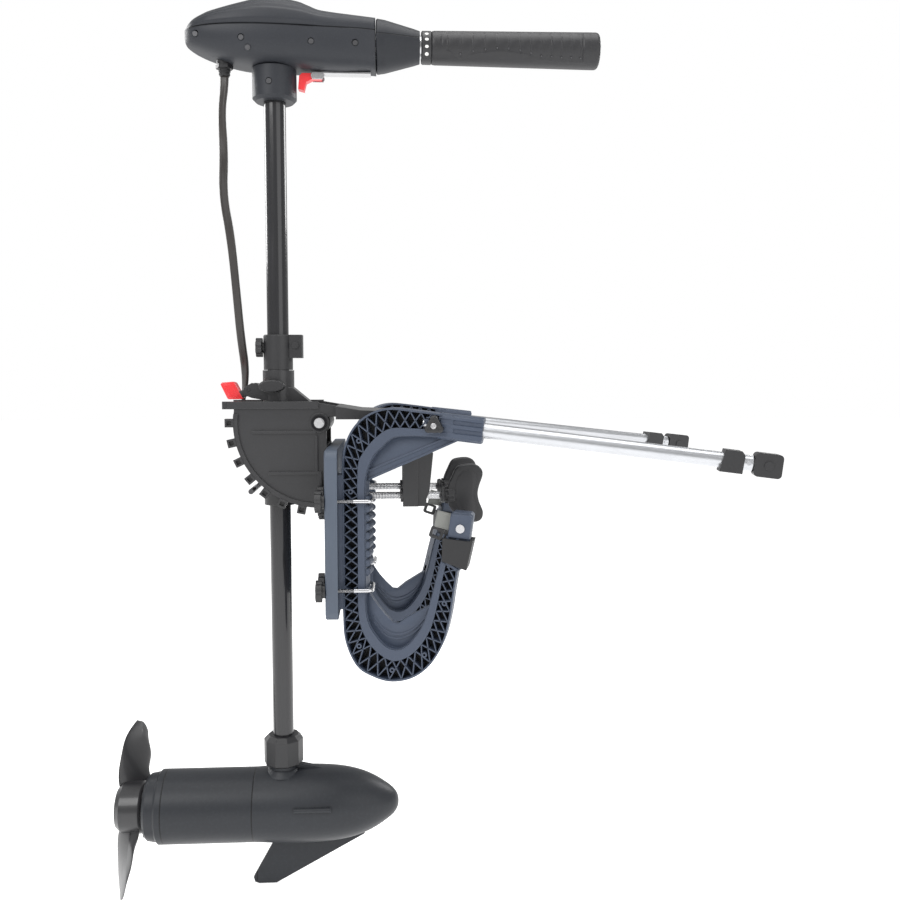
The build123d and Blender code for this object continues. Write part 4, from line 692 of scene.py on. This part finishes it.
def make_cable_tie():
    """Releasable tie round the stowed turns, with its locking head on the inside of the coil."""
    a = TIE_AT
    at = Vector((coil.x + TIE_R * math.cos(a), coil.y, coil.z + TIE_R * math.sin(a)))
    out = Vector((math.cos(a), 0, math.sin(a)))
    along = Vector((-math.sin(a), 0, math.cos(a)))
    half_y, half_r = (coil_high.y - coil_low.y) / 2 - 0.0006, 0.0036
    corner = half_y - 0.002
    outline = smooth_loop([(half_y, 0), (corner, half_r), (0, half_r + 0.0004), (-corner, half_r),
                           (-half_y, 0), (-corner, -half_r), (0, -half_r - 0.0004), (corner, -half_r)], 6)
    bm = bmesh.new()
    verts = [bm.verts.new((x, y, -0.0035)) for x, y in outline]
    edges = [bm.edges.new((verts[i], verts[(i + 1) % len(verts)])) for i in range(len(verts))]
    made = bmesh.ops.extrude_edge_only(bm, edges=edges)
    bmesh.ops.translate(bm, verts=[g for g in made["geom"] if isinstance(g, bmesh.types.BMVert)],
                        vec=(0, 0, 0.007))
    bmesh.ops.recalc_face_normals(bm, faces=bm.faces[:])
    bmesh.ops.solidify(bm, geom=bm.faces[:], thickness=-0.0009)
    place(bm, frame_at(at, (0, 1, 0), along))
    head = bmesh.ops.create_cube(bm, size=1.0)["verts"]
    bmesh.ops.scale(bm, verts=head, vec=(0.009, 0.004, 0.0085))
    bmesh.ops.transform(bm, verts=head, matrix=frame_at(at - out * (half_r + 0.0022), (0, 1, 0), along))
    edges = list({e for v in head for e in v.link_edges})
    soften(bm, 0.0008, 2, edges=edges)
    return finished("cable_tie", bm, black_plastic, "battery_cable")


def make_lead_ends():
    """The two cores part at the end of the lead and enter their sleeves on the ring terminals."""
    low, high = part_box("ring_terminals")
    end = cable_line[-1]
    bm = bmesh.new()
    y = (low.y + high.y) / 2
    for side in (-1, 1):
        x = coil.x + side * 0.009
        line = route_line([(end.x + side * 0.0026, end.y, end.z + 0.004),
                           (end.x + side * 0.003, end.y, end.z - 0.001), (x - side * 0.002, y, end.z - 0.005),
                           (x, y, high.z + 0.001), (x, y, high.z - 0.010)], 8)
        tube_along(bm, line, round_outline(0.0024, 16))
        sleeve = route_line([(x, y, high.z + 0.002), (x, y, high.z - 0.005), (x, y, high.z - 0.012)], 4)
        tube_along(bm, sleeve, round_outline(0.0042, 20, 0.0036 / 0.0042))
    return finished("cable_lead_ends", bm, rubber, "battery_cable")


cable = make_lead()
make_relief()
tie = make_cable_tie()
lead_ends = make_lead_ends()
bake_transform(cable)


# ---- hook brackets: a channel full of crossed ribs, with recessed webs and a fluted sleeve
TOE = math.radians(11.0)
HOOK_AT = (-0.065, 0.088)
HALF_T = 0.015                       # half the channel's depth
SKIN_WALL, LIP_WALL = 0.0024, 0.0012
RIB_WIDE, RIB_CELLS = 0.0015, 46
BOSS_R, BOSS_HOLE_R = 0.0034, 0.0016
BOSS_SHARES = (0.03, 0.19, 0.30, 0.63, 0.72, 0.80, 0.92)
LUMPS, LUMP_PITCH, LUMP_FOOT = 9, 0.0116, -0.060
LUMP_X = 0.0225
POLE_AT = (0.111, 0.128, 0)          # middle of the pole knob, in the hook's plane
POLE_DROP = math.radians(6.5)
SLEEVE_LEN = 0.056
# stations down the channel, in mm in the hook's plane: outer edge, the ribs' inner end, inner edge of the rim
CHANNEL = (((120, 142), (118, 122), (116, 113)), ((88, 146.5), (86, 124), (84, 114)),
           ((52, 149.5), (56, 124), (59, 112)), ((27, 142), (38, 114), (45, 101)),
           ((8, 126), (24, 99), (33, 88)), ((-4, 102), (14, 82), (25, 70)), ((-8, 70), (12, 58), (22, 52)),
           ((-8, 30), (12, 26), (22, 24)), ((-8, -20), (12, -20), (22, -20)),
           ((-8, -66), (12, -64), (22, -63)), ((-8, -112), (12, -105), (22, -101)),
           ((-5, -150), (16, -132), (26, -125)), ((10, -182), (28, -154), (37, -143)),
           ((33, -195.5), (44, -168), (48, -154)), ((56, -200), (59, -173), (60, -158)),
           ((82, -194), (76, -167), (72, -154)), ((104, -177), (92, -152), (84, -142)),
           ((121, -149), (105, -130), (96, -122)), ((130, -116), (113, -102), (104, -97)),
           ((135, -84), (119, -72), (111, -69)), ((140, -54), (125, -45), (118, -43)))


def hook_frame(sgn):
    """Matrix of a hook bracket's plane: local X forward, local Y up, local Z outward on starboard."""
    m = Matrix(((math.cos(TOE), 0, sgn * math.sin(TOE)), (sgn * math.sin(TOE), 0, -math.cos(TOE)),
                (0, 1, 0))).to_4x4()
    m.translation = (HOOK_AT[0], sgn * HOOK_AT[1], 0)
    return m


def band(bm, left, right, low, high, width=0.0):
    """A closed strip of plate between two lines in the plane, from low to high along the normal."""
    rows = [[bm.verts.new((p.x, p.y, z)) for p, z in ((a, low), (b, low), (b, high), (a, high))]
            for a, b in zip(left, right)]
    made = [bm.faces.new(rows[0]), bm.faces.new(rows[-1])]
    for r0, r1 in zip(rows, rows[1:]):
        made += [bm.faces.new((r0[k], r0[(k + 1) % 4], r1[(k + 1) % 4], r1[k])) for k in range(4)]
    if width:
        soften(bm, width, 2, edges=[e for e in {e for f in made for e in f.edges}
                                    if e.calc_face_angle(0.0) > math.radians(40)])


def bar(bm, a, b, wide, low, high):
    """A straight rib from a to b in the plane."""
    a, b = Vector(a), Vector(b)
    made = bmesh.ops.create_cube(bm, size=1.0)["verts"]
    bmesh.ops.scale(bm, verts=made, vec=((b - a).length + wide, wide, high - low))
    m = frame_at(((a.x + b.x) / 2, (a.y + b.y) / 2, (low + high) / 2), (b.x - a.x, b.y - a.y, 0), (0, 0, 1))
    bmesh.ops.transform(bm, verts=made, matrix=m)


def plate(bm, outline, half, width):
    """A flat web across the middle of the hook's plane, its outline in mm."""
    adopt(bm, slab(in_mm(outline), -half, half, width))


def channel_lines():
    """Lines down the channel: its outer edge, both sides of the ribs, the lip and the rim."""
    outer, inner, rim = (flow([Vector(st[k]) * MM for st in CHANNEL]) for k in range(3))
    skin = [o + (i - o).normalized() * SKIN_WALL for o, i in zip(outer, inner)]
    lip = [r + (i - r).normalized() * LIP_WALL for r, i in zip(rim, inner)]
    return outer, skin, inner, lip, rim


OUTER, SKIN, INNER, LIP, RIM = channel_lines()
WAY = [0.0]
for a, b, c, d in zip(SKIN, SKIN[1:], INNER, INNER[1:]):
    WAY.append(WAY[-1] + ((b - a).length + (d - c).length) / 2)


def along(line, share):
    """The point of a channel line at a share of the channel's length."""
    where = WAY[-1] * share
    k = max(j for j, way in enumerate(WAY) if way <= where + 1e-9)
    if k >= len(WAY) - 1:
        return line[-1]
    return line[k].lerp(line[k + 1], (where - WAY[k]) / (WAY[k + 1] - WAY[k]))


def add_channel(bm):
    """Outer skin, inner skin and rim, with the crossed ribs between them on both faces."""
    band(bm, OUTER, SKIN, -HALF_T, HALF_T, 0.0007)
    band(bm, INNER, LIP, -HALF_T, HALF_T, 0.0009)
    band(bm, LIP, RIM, -HALF_T + 0.0025, HALF_T - 0.0025, 0.0009)
    for i in range(RIB_CELLS):
        here, there = i / RIB_CELLS, (i + 1) / RIB_CELLS
        for p, q in ((along(SKIN, here), along(INNER, there)), (along(INNER, here), along(SKIN, there))):
            for low, high in ((0.0005, HALF_T - 0.0012), (-HALF_T + 0.0012, -0.0005)):
                bar(bm, p, q, RIB_WIDE, low, high)
    bar(bm, SKIN[-1], INNER[-1], 2 * RIB_WIDE, -HALF_T, HALF_T)


def add_bosses(bm):
    """Fixing bosses in the channel, each open to its own face."""
    for share in BOSS_SHARES:
        mid = (along(SKIN, share) + along(INNER, share)) / 2
        for top in (HALF_T - 0.0006, -HALF_T + 0.0006):
            boss = turned([(0.0, 0.0), (0.0, BOSS_R), (top, BOSS_R), (top, BOSS_HOLE_R),
                           (top / 2, BOSS_HOLE_R), (top / 2, 0.0)], 16)
            adopt(bm, boss, frame_at((mid.x, mid.y, 0), (0, 0, 1), (1, 0, 0)))


def add_webs(bm):
    """The notched web in the bend and the gusset under the beam, each with two pressed ridges."""
    notch = [(24, -88), (34, -103), (45, -116), (55, -126), (62, -127), (74, -118), (92, -108), (103, -102),
             (108, -80)]
    plate(bm, notch + [tuple(p / MM) for p in reversed(RIM) if p.y < -84 * MM], 0.0045, 0.0008)
    for lift in (7.0, 20.0):
        arc = flow([Vector(p) * MM for p in (
            (30, -113 - lift * 0.55), (45, -131 - lift * 0.5), (62, -137 - lift * 0.4),
            (82, -129 - lift * 0.4), (99, -112 - lift * 0.35))])
        band(bm, arc, [p + Vector((0, -0.0022)) for p in arc], -0.0058, 0.0058, 0.0006)
    corner = [tuple(p / MM) for p in RIM if p.y > 54 * MM]
    plate(bm, corner + [(22, 56), (141, 109), (134, 112)], 0.0045, 0.0008)
    for lift in (0.0, 11.0):
        edge = [Vector((24, 57.5 + lift)) * MM, Vector((139 - lift * 1.2, 108.5 + lift * 0.3)) * MM]
        band(bm, edge, [p + Vector((0, 0.0022)) for p in edge], -0.006, 0.006, 0.0006)


def add_lumps(bm):
    """Rounded lumps down the spine's inner edge."""
    half = [(0.0125, 0.0), (0.0122, 0.003), (0.0105, 0.0048)]
    for i in range(LUMPS):
        lump = turned([(-a, r) for a, r in half] + half[::-1], 20)
        adopt(bm, lump, frame_at((LUMP_X, LUMP_FOOT + i * LUMP_PITCH, 0), (0, 0, 1), (1, 0, 0)))


def add_sleeve(bm):
    """Fluted sleeve that holds the pole, and the beam's cheeks with three small pockets."""
    flutes = [(-16.5, 9.5), (-13, 14.5), (-7.5, 14.5), (-6.2, 12.2), (-2.0, 12.2), (-0.8, 14.5), (3.2, 14.5),
              (4.4, 12.2), (8.6, 12.2), (9.8, 14.5), (13, 14.0), (16, 9.5)]
    sleeve = bmesh.new()
    prism(sleeve, in_mm(flutes + [(a, -b) for a, b in reversed(flutes)]), 0.0, SLEEVE_LEN)
    bmesh.ops.recalc_face_normals(sleeve, faces=sleeve.faces[:])
    soften(sleeve, 0.0008, edges=[e for e in sleeve.edges if abs(e.verts[0].co.z - e.verts[1].co.z) < 1e-6])
    tilt = Matrix.Translation(POLE_AT) @ Matrix.Rotation(-POLE_DROP, 4, "Z")
    adopt(bm, sleeve, tilt @ frame_at((0.004, 0, 0), (0, 1, 0), (1, 0, 0)))
    plate(bm, [(118, 142), (118, 112), (134, 110), (134, 140.5)], HALF_T - 0.0015, 0.0008)
    for row in (-7.0, 0.0, 7.0):
        c = Vector((104.5, 128.5 + row)) * MM
        for face in (-1, 1):
            z0, z1 = sorted((face * (HALF_T - 0.002), face * (HALF_T + 0.0004)))
            for rise, end_rise in ((0.0024, 0.0020), (-0.0024, -0.0028)):
                bar(bm, c + Vector((-0.0035, rise)), c + Vector((0.0045, end_rise)), 0.0012, z0, z1)


def add_arm(bm):
    """The arm up to the tip, its three ribs and the tip block."""
    plate(bm, [(116.5, -45), (123, -40), (126.5, -12), (130.5, 17), (135, 19.5), (156, 18), (159, 15),
               (154, -20), (146, -52), (139, -56)], 0.0105, 0.001)
    for share in (0.06, 0.5, 0.94):
        foot = Vector((118, -46)).lerp(Vector((138, -54)), share) * MM
        head = Vector((125, -12)).lerp(Vector((153, -19)), share) * MM
        bar(bm, foot, head, 0.0034, -HALF_T + 0.0015, HALF_T - 0.0015)
    tip = [(126.8, -12), (130.6, 15), (133.5, 17.5), (155.5, 16), (158, 13.5), (154.5, -15)]
    plate(bm, tip, HALF_T, 0.0016)


def make_hook(side_name, sgn):
    bm = bmesh.new()
    for add in (add_channel, add_bosses, add_webs, add_lumps, add_sleeve, add_arm):
        add(bm)
    place(bm, hook_frame(sgn))
    hook = finished("hook_frame_" + side_name, bm, blue_grey, "mount", merge=FINE)
    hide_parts("hook_bracket_" + side_name)
    # floor of the channel in near black: painted shade in the recess between the ribs
    bm = bmesh.new()
    band(bm, SKIN, INNER, -0.0006, 0.0006)
    place(bm, hook_frame(sgn))
    finished("hook_floor_" + side_name, bm, painted_shade_pit, "mount", merge=FINE)


for side_name, sgn in SIDES:
    make_hook(side_name, sgn)


# ---- hand knobs, screws and the tilt lever
HUB_FROM_END = 0.056                 # from the end of the clamp's CAD solid to the knob's collar
WING_X = 58                          # where the wings' own outline starts along X, in mm
CLAMP_PITCH = 0.002
COLLAR_RIBS, COLLAR_RIB_R = 8, 0.0102
KNOB_FOOT, KNOB_TOP = 0.0156, 0.0252


def add_wings(bm, middle):
    """Two wings in the plane across Y, with a raised panel on each face."""
    wing = smooth_loop([(3, 10), (9, 26), (15, 37), (24, 40.5), (38, 41), (47, 36), (49.5, 27), (45, 13),
                        (43, 2), (45, -9), (50, -22), (48, -32), (39, -36), (24, -33), (12, -24),
                        (4, -11)], 4)
    panel = smooth_loop([(13, 12), (19, 27), (27, 33), (37, 32), (41, 22), (37, 2), (41, -17), (38, -27),
                         (26, -26), (16, -12)], 4)
    adopt(bm, slab(in_mm([(a + WING_X, b) for a, b in wing]), -0.0064, 0.0064, 0.0026, 4),
          frame_at(middle, (1, 0, 0), (0, -1, 0)))
    for face in (-1, 1):
        adopt(bm, slab(in_mm([(a + WING_X, b) for a, b in panel]), 0.0060, 0.0072, 0.0007),
              frame_at(middle, (1, 0, 0), (0, -face, 0)))


def make_clamp(side_name):
    low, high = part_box("clamp_screw_" + side_name)
    y, z = centre("clamp_pad_" + side_name).yz
    body = "clamp_screw_" + side_name
    hub = high.x - HUB_FROM_END
    # threaded screw with its ball end
    outline = [(low.x, 0.0), (low.x, 0.0029), (low.x + 0.003, 0.0029), (low.x + 0.004, 0.0046)]
    for i in range(int((hub - low.x - 0.006) / CLAMP_PITCH)):
        x = low.x + 0.005 + i * CLAMP_PITCH
        outline += [(x + CLAMP_PITCH * share, r)
                    for share, r in ((0.0, 0.0044), (0.35, 0.00498), (0.55, 0.00498), (0.9, 0.0044))]
    bm = turned(outline + [(hub + 0.004, 0.0046), (hub + 0.004, 0.0)], 28)
    place(bm, Matrix.Translation((0, y, z)))
    finished("clamp_thread_" + side_name, bm, screw_steel, body, crisp=50)
    # winged knob with a collar of eight ribs
    bm = bmesh.new()
    add_wings(bm, (0, y, z))
    collar = [(-1, 0), (-1, 8.5), (0, 10), (3.5, 10.6), (4.5, 9.2), (7.5, 9.2), (9, 10.8), (17, 10.2),
              (20, 7), (20, 0)]
    adopt(bm, turned([(hub + a * MM, r * MM) for a, r in collar], 32), Matrix.Translation((0, y, z)))
    for k in range(COLLAR_RIBS):
        a = 2 * math.pi * k / COLLAR_RIBS
        rib = bmesh.new()
        bmesh.ops.create_cube(rib, size=1.0)
        bmesh.ops.scale(rib, verts=rib.verts[:], vec=(0.011, 0.0022, 0.0022))
        soften(rib, 0.0005, 1, 40)
        at = (hub + 0.0105, y + COLLAR_RIB_R * math.cos(a), z + COLLAR_RIB_R * math.sin(a))
        adopt(bm, rib, Matrix.Translation(at))
    knob = finished("clamp_knob_" + side_name, bm, black_plastic, body, merge=FINE)
    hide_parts("clamp_screw_" + side_name)


def lobed(radius, rise, dip, count=48):
    """A closed outline with three rounded lobes, one of them upright."""
    out = []
    for k in range(count):
        a = 2 * math.pi * k / count
        wave = math.cos(3 * (a - math.pi / 2))
        r = radius + rise * max(0.0, wave) ** 0.7 - dip * max(0.0, -wave)
        out.append((r * math.cos(a), r * math.sin(a)))
    return out


def make_pole_knob(side_name, sgn):
    """Three-lobed knob, its bolt end and the nut behind."""
    body = "pole_knob_" + side_name
    out = -sgn
    m = hook_frame(sgn) @ Matrix.Translation(POLE_AT)
    near, far = sorted((out * KNOB_FOOT, out * KNOB_TOP))
    bm = slab(lobed(0.0094, 0.0034, 0.0008), near, far, 0.0014, 3)
    for a in (90, 210, 330):
        c, s = math.cos(math.radians(a)), math.sin(math.radians(a))
        eye = turned([(0.0250, 0.0031), (0.0259, 0.0029), (0.0259, 0.0017), (0.0250, 0.0015),
                      (0.0246, 0.0)], 18)
        adopt(bm, eye, frame_at((0.0078 * c, 0.0078 * s, 0), (0, 0, out), (1, 0, 0)))
    place(bm, m)
    knob = finished("pole_hand_knob_" + side_name, bm, black_plastic, body, merge=FINE)
    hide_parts("pole_knob_" + side_name)
    bm = turned([(-0.0225, 0.0), (-0.0225, 0.0036), (-0.022, 0.00395), (0.0268, 0.00395), (0.0276, 0.0034),
                 (0.0276, 0.0018), (0.0268, 0.0016), (0.0268, 0.0)], 28)
    place(bm, frame_at((0, 0, 0), (0, 0, out), (1, 0, 0)))
    nut = slab(round_outline(0.0074, 6), KNOB_FOOT, 0.0194, 0.0006)
    adopt(bm, nut, frame_at((0, 0, 0), (1, 0, 0), (0, 0, -out)))
    place(bm, m)
    finished("pole_bolt_" + side_name, bm, steel, body, merge=FINE)


def make_tilt_lever():
    """Red thumb tab on a black arm that turns on the hub's ears."""
    low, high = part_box("tilt_lock_lever")
    at_hinge = frame_at((high.x - 0.005, 0.0, low.z + 0.012), (1, 0, 0), (0, -1, 0))
    tab = [(-38, 8), (-36, 10.6), (-23, 11.6), (-19.5, 10.4), (-8.5, -10.5), (-10, -11.8), (-27, -12),
           (-29, -11)]
    rail = [(-33.5, 6.8), (-24, 8.2), (-14.5, -9), (-25.5, -9.4)]
    bm = slab(in_mm(tab), -0.0122, 0.0122, 0.0013, 3, 30)
    for face in (-1, 1):
        adopt(bm, slab(in_mm(rail), 0.0119, 0.0125, 0.0003, 1, 30), Matrix.Diagonal((1, 1, face, 1)))
    place(bm, at_hinge)
    tab_piece = finished("tilt_lever_tab", bm, red_plastic, "lock_lever", merge=FINE)
    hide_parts("tilt_lock_lever")
    arm = smooth_loop([(-16, -3), (-8, 1), (0, 5), (4.5, 2), (4.5, -4), (0, -7.5), (-9, -9), (-15, -10)], 4)
    bm = slab(in_mm(arm), -0.0118, 0.0118, 0.001)
    pin = turned([(-0.0174, 0.0), (-0.0174, 0.0021), (-0.017, 0.0025), (0.017, 0.0025), (0.0174, 0.0021),
                  (0.0174, 0.0)], 24)
    adopt(bm, pin, frame_at((0, 0, 0), (0, 0, 1), (1, 0, 0)))
    place(bm, at_hinge)
    finished("tilt_lever_arm", bm, black_plastic, "lock_lever", merge=FINE)


for side_name, sgn in SIDES:
    make_clamp(side_name)
    make_pole_knob(side_name, sgn)
make_tilt_lever()


# ---- twist grip: wavy panel with pillowed ribs on each side
GRIP_STEPS, GRIP_AROUND = 300, 144
GRIP_R, GRIP_FLARE, BORE_R = 0.0204, 0.0022, 0.0170
PANEL_TOP = 0.80
PANEL_ENDS = (0.055, 0.955)
# lower edge of the panel: share of the grip's length, height over radius
PANEL_FOOT = ((0.05, 0.0), (0.09, -0.42), (0.17, -0.74), (0.31, -0.50), (0.43, -0.38), (0.56, -0.49),
              (0.69, -0.74), (0.85, -0.78), (0.97, -0.80))
RIBS = [0.097 + i * 0.0815 - i * i * 0.00095 for i in range(13)]
RIB_HALF = 0.0035         # half a rib, as a share of the length


def panel_foot(t):
    """Height of the panel's lower edge at a share of the grip's length."""
    for (a, u), (b, v) in zip(PANEL_FOOT, PANEL_FOOT[1:]):
        if t <= b:
            return u + (v - u) * ease(t, a, b)
    return PANEL_FOOT[-1][1]


def past(x, edge, soft):
    """0 before an edge and 1 past it, blurred over soft."""
    return ease(x, edge - soft / 2, edge + soft / 2)


def panel_lift(t, u):
    """How far the skin stands off its round form, at a share of the length and a height over radius."""
    foot = panel_foot(t)
    rear, front = PANEL_ENDS
    inside = past(u, foot, 0.07) * (1 - past(u, PANEL_TOP, 0.07))
    inside *= past(t, rear + 0.03 * u * u, 0.012) * (1 - past(t, front, 0.010))
    lip = max(0.0, 1 - abs(u - foot) / 0.06) * past(t, 0.06, 0.02) * (1 - past(t, 0.96, 0.01))
    lift = 0.0006 * lip - 0.0011 * inside
    if inside > 0.5 and 0.06 < t < 0.95:
        before = max([k for k in RIBS if k <= t], default=rear)
        after = min([k for k in RIBS if k > t], default=front)
        lift += 0.0008 * math.sin(math.pi * (t - before) / (after - before)) ** 0.6 * inside
        off = min(abs(t - k) for k in RIBS)
        if off < RIB_HALF:
            lift += 0.0009 * (1 - off / RIB_HALF) * (1 - past(u, 0.62, 0.1)) * past(u, foot + 0.22, 0.08)
    return lift


def make_grip():
    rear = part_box("grip_speed_ring")[1].x
    axis_z = centre("grip_end_cap").z
    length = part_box("throttle_grip")[1].x - rear
    outline = []
    for i in range(GRIP_STEPS + 1):
        r = GRIP_R + 0.00091 * min(1.0, i / 6.0) ** 0.5 + GRIP_FLARE * i / GRIP_STEPS
        outline.append((length * i / GRIP_STEPS, r))
    bm = turned([(0.0, BORE_R)] + outline + [(length, BORE_R), (0.0, BORE_R)], GRIP_AROUND)
    for v in bm.verts:
        r = math.hypot(v.co.y, v.co.z)
        if r > (BORE_R + GRIP_R) / 2:
            k = 1 + panel_lift(v.co.x / length, v.co.z / r) / r
            v.co.y *= k
            v.co.z *= k
    place(bm, Matrix.Translation((rear, 0, axis_z)))
    grip = finished("grip_sleeve", bm, grip_black, "grip", crisp=70, merge=FINE)
    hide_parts("throttle_grip")
    # small studs along the panel's lower edge
    bm = bmesh.new()
    for t in RIBS[1:]:
        u = panel_foot(t) + 0.16
        r = GRIP_R + 0.0009 + GRIP_FLARE * t
        for face in (-1, 1):
            at = Vector((rear + t * length, face * r * math.sqrt(1 - u * u), axis_z + r * u))
            stud = turned([(-0.0006, 0.0), (-0.0006, 0.0011), (0.0002, 0.0010), (0.0005, 0.0006),
                           (0.0006, 0.0)], 12)
            adopt(bm, stud, frame_at(at, (0, at.y, at.z - axis_z), (1, 0, 0)))
    finished("grip_studs", bm, dark_steel, "grip", merge=FINE)


make_grip()


# ---- head cover with its raised crown and two crease lines
COVER_AROUND = 96
COVER_WALL = 0.0025
# stations along the cover, in mm from the shaft's axis: place, half width, height
COVER = ((-112.9, 8, 3), (-112, 13, 5), (-107, 22, 10.5), (-100, 30, 16), (-88, 36.5, 22), (-75, 41, 27),
         (-40, 47, 37), (-5, 48, 44.9), (30, 46, 41), (46, 44.8, 35.5), (60, 43, 30), (80, 41.6, 27),
         (100, 40, 25), (133.6, 33.5, 22.6))


def ledges(x, level):
    """How far the cover swells below its two crease lines, in mm, at a share of its height."""
    crown = ease(x, -100, -60) * (1 - ease(x, 44, 70))
    waist = ease(x, -112, -92) * (1 - ease(x, 62, 92))
    swell = 2.0 * crown * (1 - ease(level, 0.60, 0.665)) + 1.5 * waist * (1 - ease(level, 0.435, 0.49))
    return swell * ease(level, 0.0, 0.16)


def make_head_cover():
    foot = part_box("head_upper_cover")[0].z
    axis_x = centre("shaft_tube").x
    bm = bmesh.new()
    rows = []
    for x, wide, tall in flow([Vector(st) for st in COVER], 9):
        row = []
        for k in range(COVER_AROUND + 1):
            a = math.pi * (1 - k / COVER_AROUND)
            c, level = math.cos(a), abs(math.sin(a)) ** 0.8
            y = abs(c) ** 0.8 * wide + ledges(x, level) * min(1.0, abs(c) * 2.2)
            row.append(bm.verts.new((axis_x + x * MM, math.copysign(y, c) * MM, foot + level * tall * MM)))
        rows.append(row)
    for r0, r1 in zip(rows, rows[1:]):
        for k in range(COVER_AROUND):
            bm.faces.new((r0[k], r0[k + 1], r1[k + 1], r1[k]))
    bm.faces.new(rows[0])
    cover = finished("head_cover", bm, charcoal, "shaft", crisp=50)
    wall = cover.modifiers.new("wall", "SOLIDIFY")
    wall.thickness, wall.offset = COVER_WALL, -1.0
    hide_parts("head_upper_cover")


make_head_cover()


# ---- hook-tip straps: webbing folded round the bar of each buckle
STRAP_WIDE, STRAP_THICK = 0.0205, 0.0011
STRAP_REACH = 0.0185      # from the buckle's bar to the strap's two ends
STRAP_BEND = 0.0021       # half the gap between its two layers
STRAP_ROWS = 10
STRAP_AT = (0.1125, 0.0090, 0)       # in the hook's plane
STRAP_SLANT = math.radians(-13)


def strap_path():
    """The strap's line as (x, y): out along one layer, round the bar and back."""
    waves = [(i / 8, math.sin(math.pi * i / 8), math.cos(math.pi * i / 8)) for i in range(9)]
    over = [Vector((STRAP_REACH * (1 - share), STRAP_BEND + 0.0007 * sine)) for share, sine, _ in waves]
    turn = [Vector((-STRAP_BEND * sine, STRAP_BEND * cosine)) for _, sine, cosine in waves[1:-1]]
    under = [Vector((STRAP_REACH * share, -STRAP_BEND - 0.0009 * sine)) for share, sine, _ in waves]
    return over + turn + under


def make_strap(side_name, sgn):
    path = strap_path()
    far = [length_of(path[:i + 1]) for i in range(len(path))]
    bm = bmesh.new()
    chart = bm.loops.layers.uv.new("strap")
    rows = [[bm.verts.new((p.x, STRAP_WIDE * (j / STRAP_ROWS - 0.5) + p.x * -0.02, p.y))
             for j in range(STRAP_ROWS + 1)] for p in path]
    for i, (r0, r1) in enumerate(zip(rows, rows[1:])):
        for j in range(STRAP_ROWS):
            f = bm.faces.new((r0[j], r0[j + 1], r1[j + 1], r1[j]))
            for loop, (u, v) in zip(f.loops, ((j, i), (j + 1, i), (j + 1, i + 1), (j, i + 1))):
                loop[chart].uv = (u * STRAP_WIDE / STRAP_ROWS / MM, far[v] / MM)
    place(bm, hook_frame(sgn) @ Matrix.Translation(STRAP_AT) @ Matrix.Rotation(STRAP_SLANT, 4, "Z"))
    strap = finished("strap_" + side_name, bm, webbing, "mount", crisp=80)
    cloth = strap.modifiers.new("cloth", "SOLIDIFY")
    cloth.thickness, cloth.offset = STRAP_THICK, 0.0
    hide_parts("hook_tip_straps")


for side_name, sgn in SIDES:
    make_strap(side_name, sgn)


# ---- floor and light
# name, place, size of the panel in metres, power in watts
LAMPS = (("key", (-1.6, -2.2, 2.1), 1.8, 58.0), ("fill", (2.0, -2.4, 1.0), 2.4, 26.0),
         ("top", (0.2, -0.3, 2.8), 2.2, 46.0), ("rim_left", (-2.2, 1.6, 1.2), 1.2, 34.0),
         ("rim_right", (2.2, 1.8, 1.4), 1.2, 34.0))


def make_floor(height):
    finish = Finish("studio_floor", (0.86, 0.86, 0.86), 0.9, Emission_Color=WHITE, Emission_Strength=0.62)
    finish.colour = finish.mix(finish.noise(3.0, 3.0), (0.84, 0.84, 0.84), (0.87, 0.87, 0.87))
    bm = bmesh.new()
    bmesh.ops.create_grid(bm, x_segments=2, y_segments=2, size=14.0)
    bmesh.ops.translate(bm, verts=bm.verts[:], vec=(0, 0, height))
    mesh = bpy.data.meshes.new("studio_floor")
    bm.to_mesh(mesh)
    bm.free()
    mesh.materials.append(finish.done())
    put("studio_floor", mesh)


def make_lamps(middle):
    for name, at, size, power in LAMPS:
        data = bpy.data.lights.new(name, "AREA")
        data.shape, data.size, data.energy = "SQUARE", size, power
        lamp = put(name, data)
        lamp.location = at
        lamp.rotation_euler = (middle - Vector(at)).to_track_quat("-Z", "Y").to_euler()


def make_sky():
    """Soft light from all round, behind a background that stays plain white."""
    world = bpy.data.worlds.new("studio")
    world.use_nodes = True
    sky = Nodes(world.node_tree)
    light = sky.node("ShaderNodeBackground", {}, {"Color": WHITE, "Strength": 0.52})
    plain = sky.node("ShaderNodeBackground", {}, {"Color": WHITE, "Strength": 1.0})
    seen = sky.node("ShaderNodeLightPath", {}, {}, "Is Camera Ray")
    both = sky.node("ShaderNodeMixShader", {}, [seen, light, plain])
    sky.feed(world.node_tree.nodes["World Output"].inputs["Surface"], both)
    bpy.context.scene.world = world


def make_studio():
    low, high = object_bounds()
    make_floor(low.z - 0.001)
    make_lamps((low + high) / 2)
    make_sky()


make_studio()
bpy.context.scene.view_settings.view_transform = "Standard"
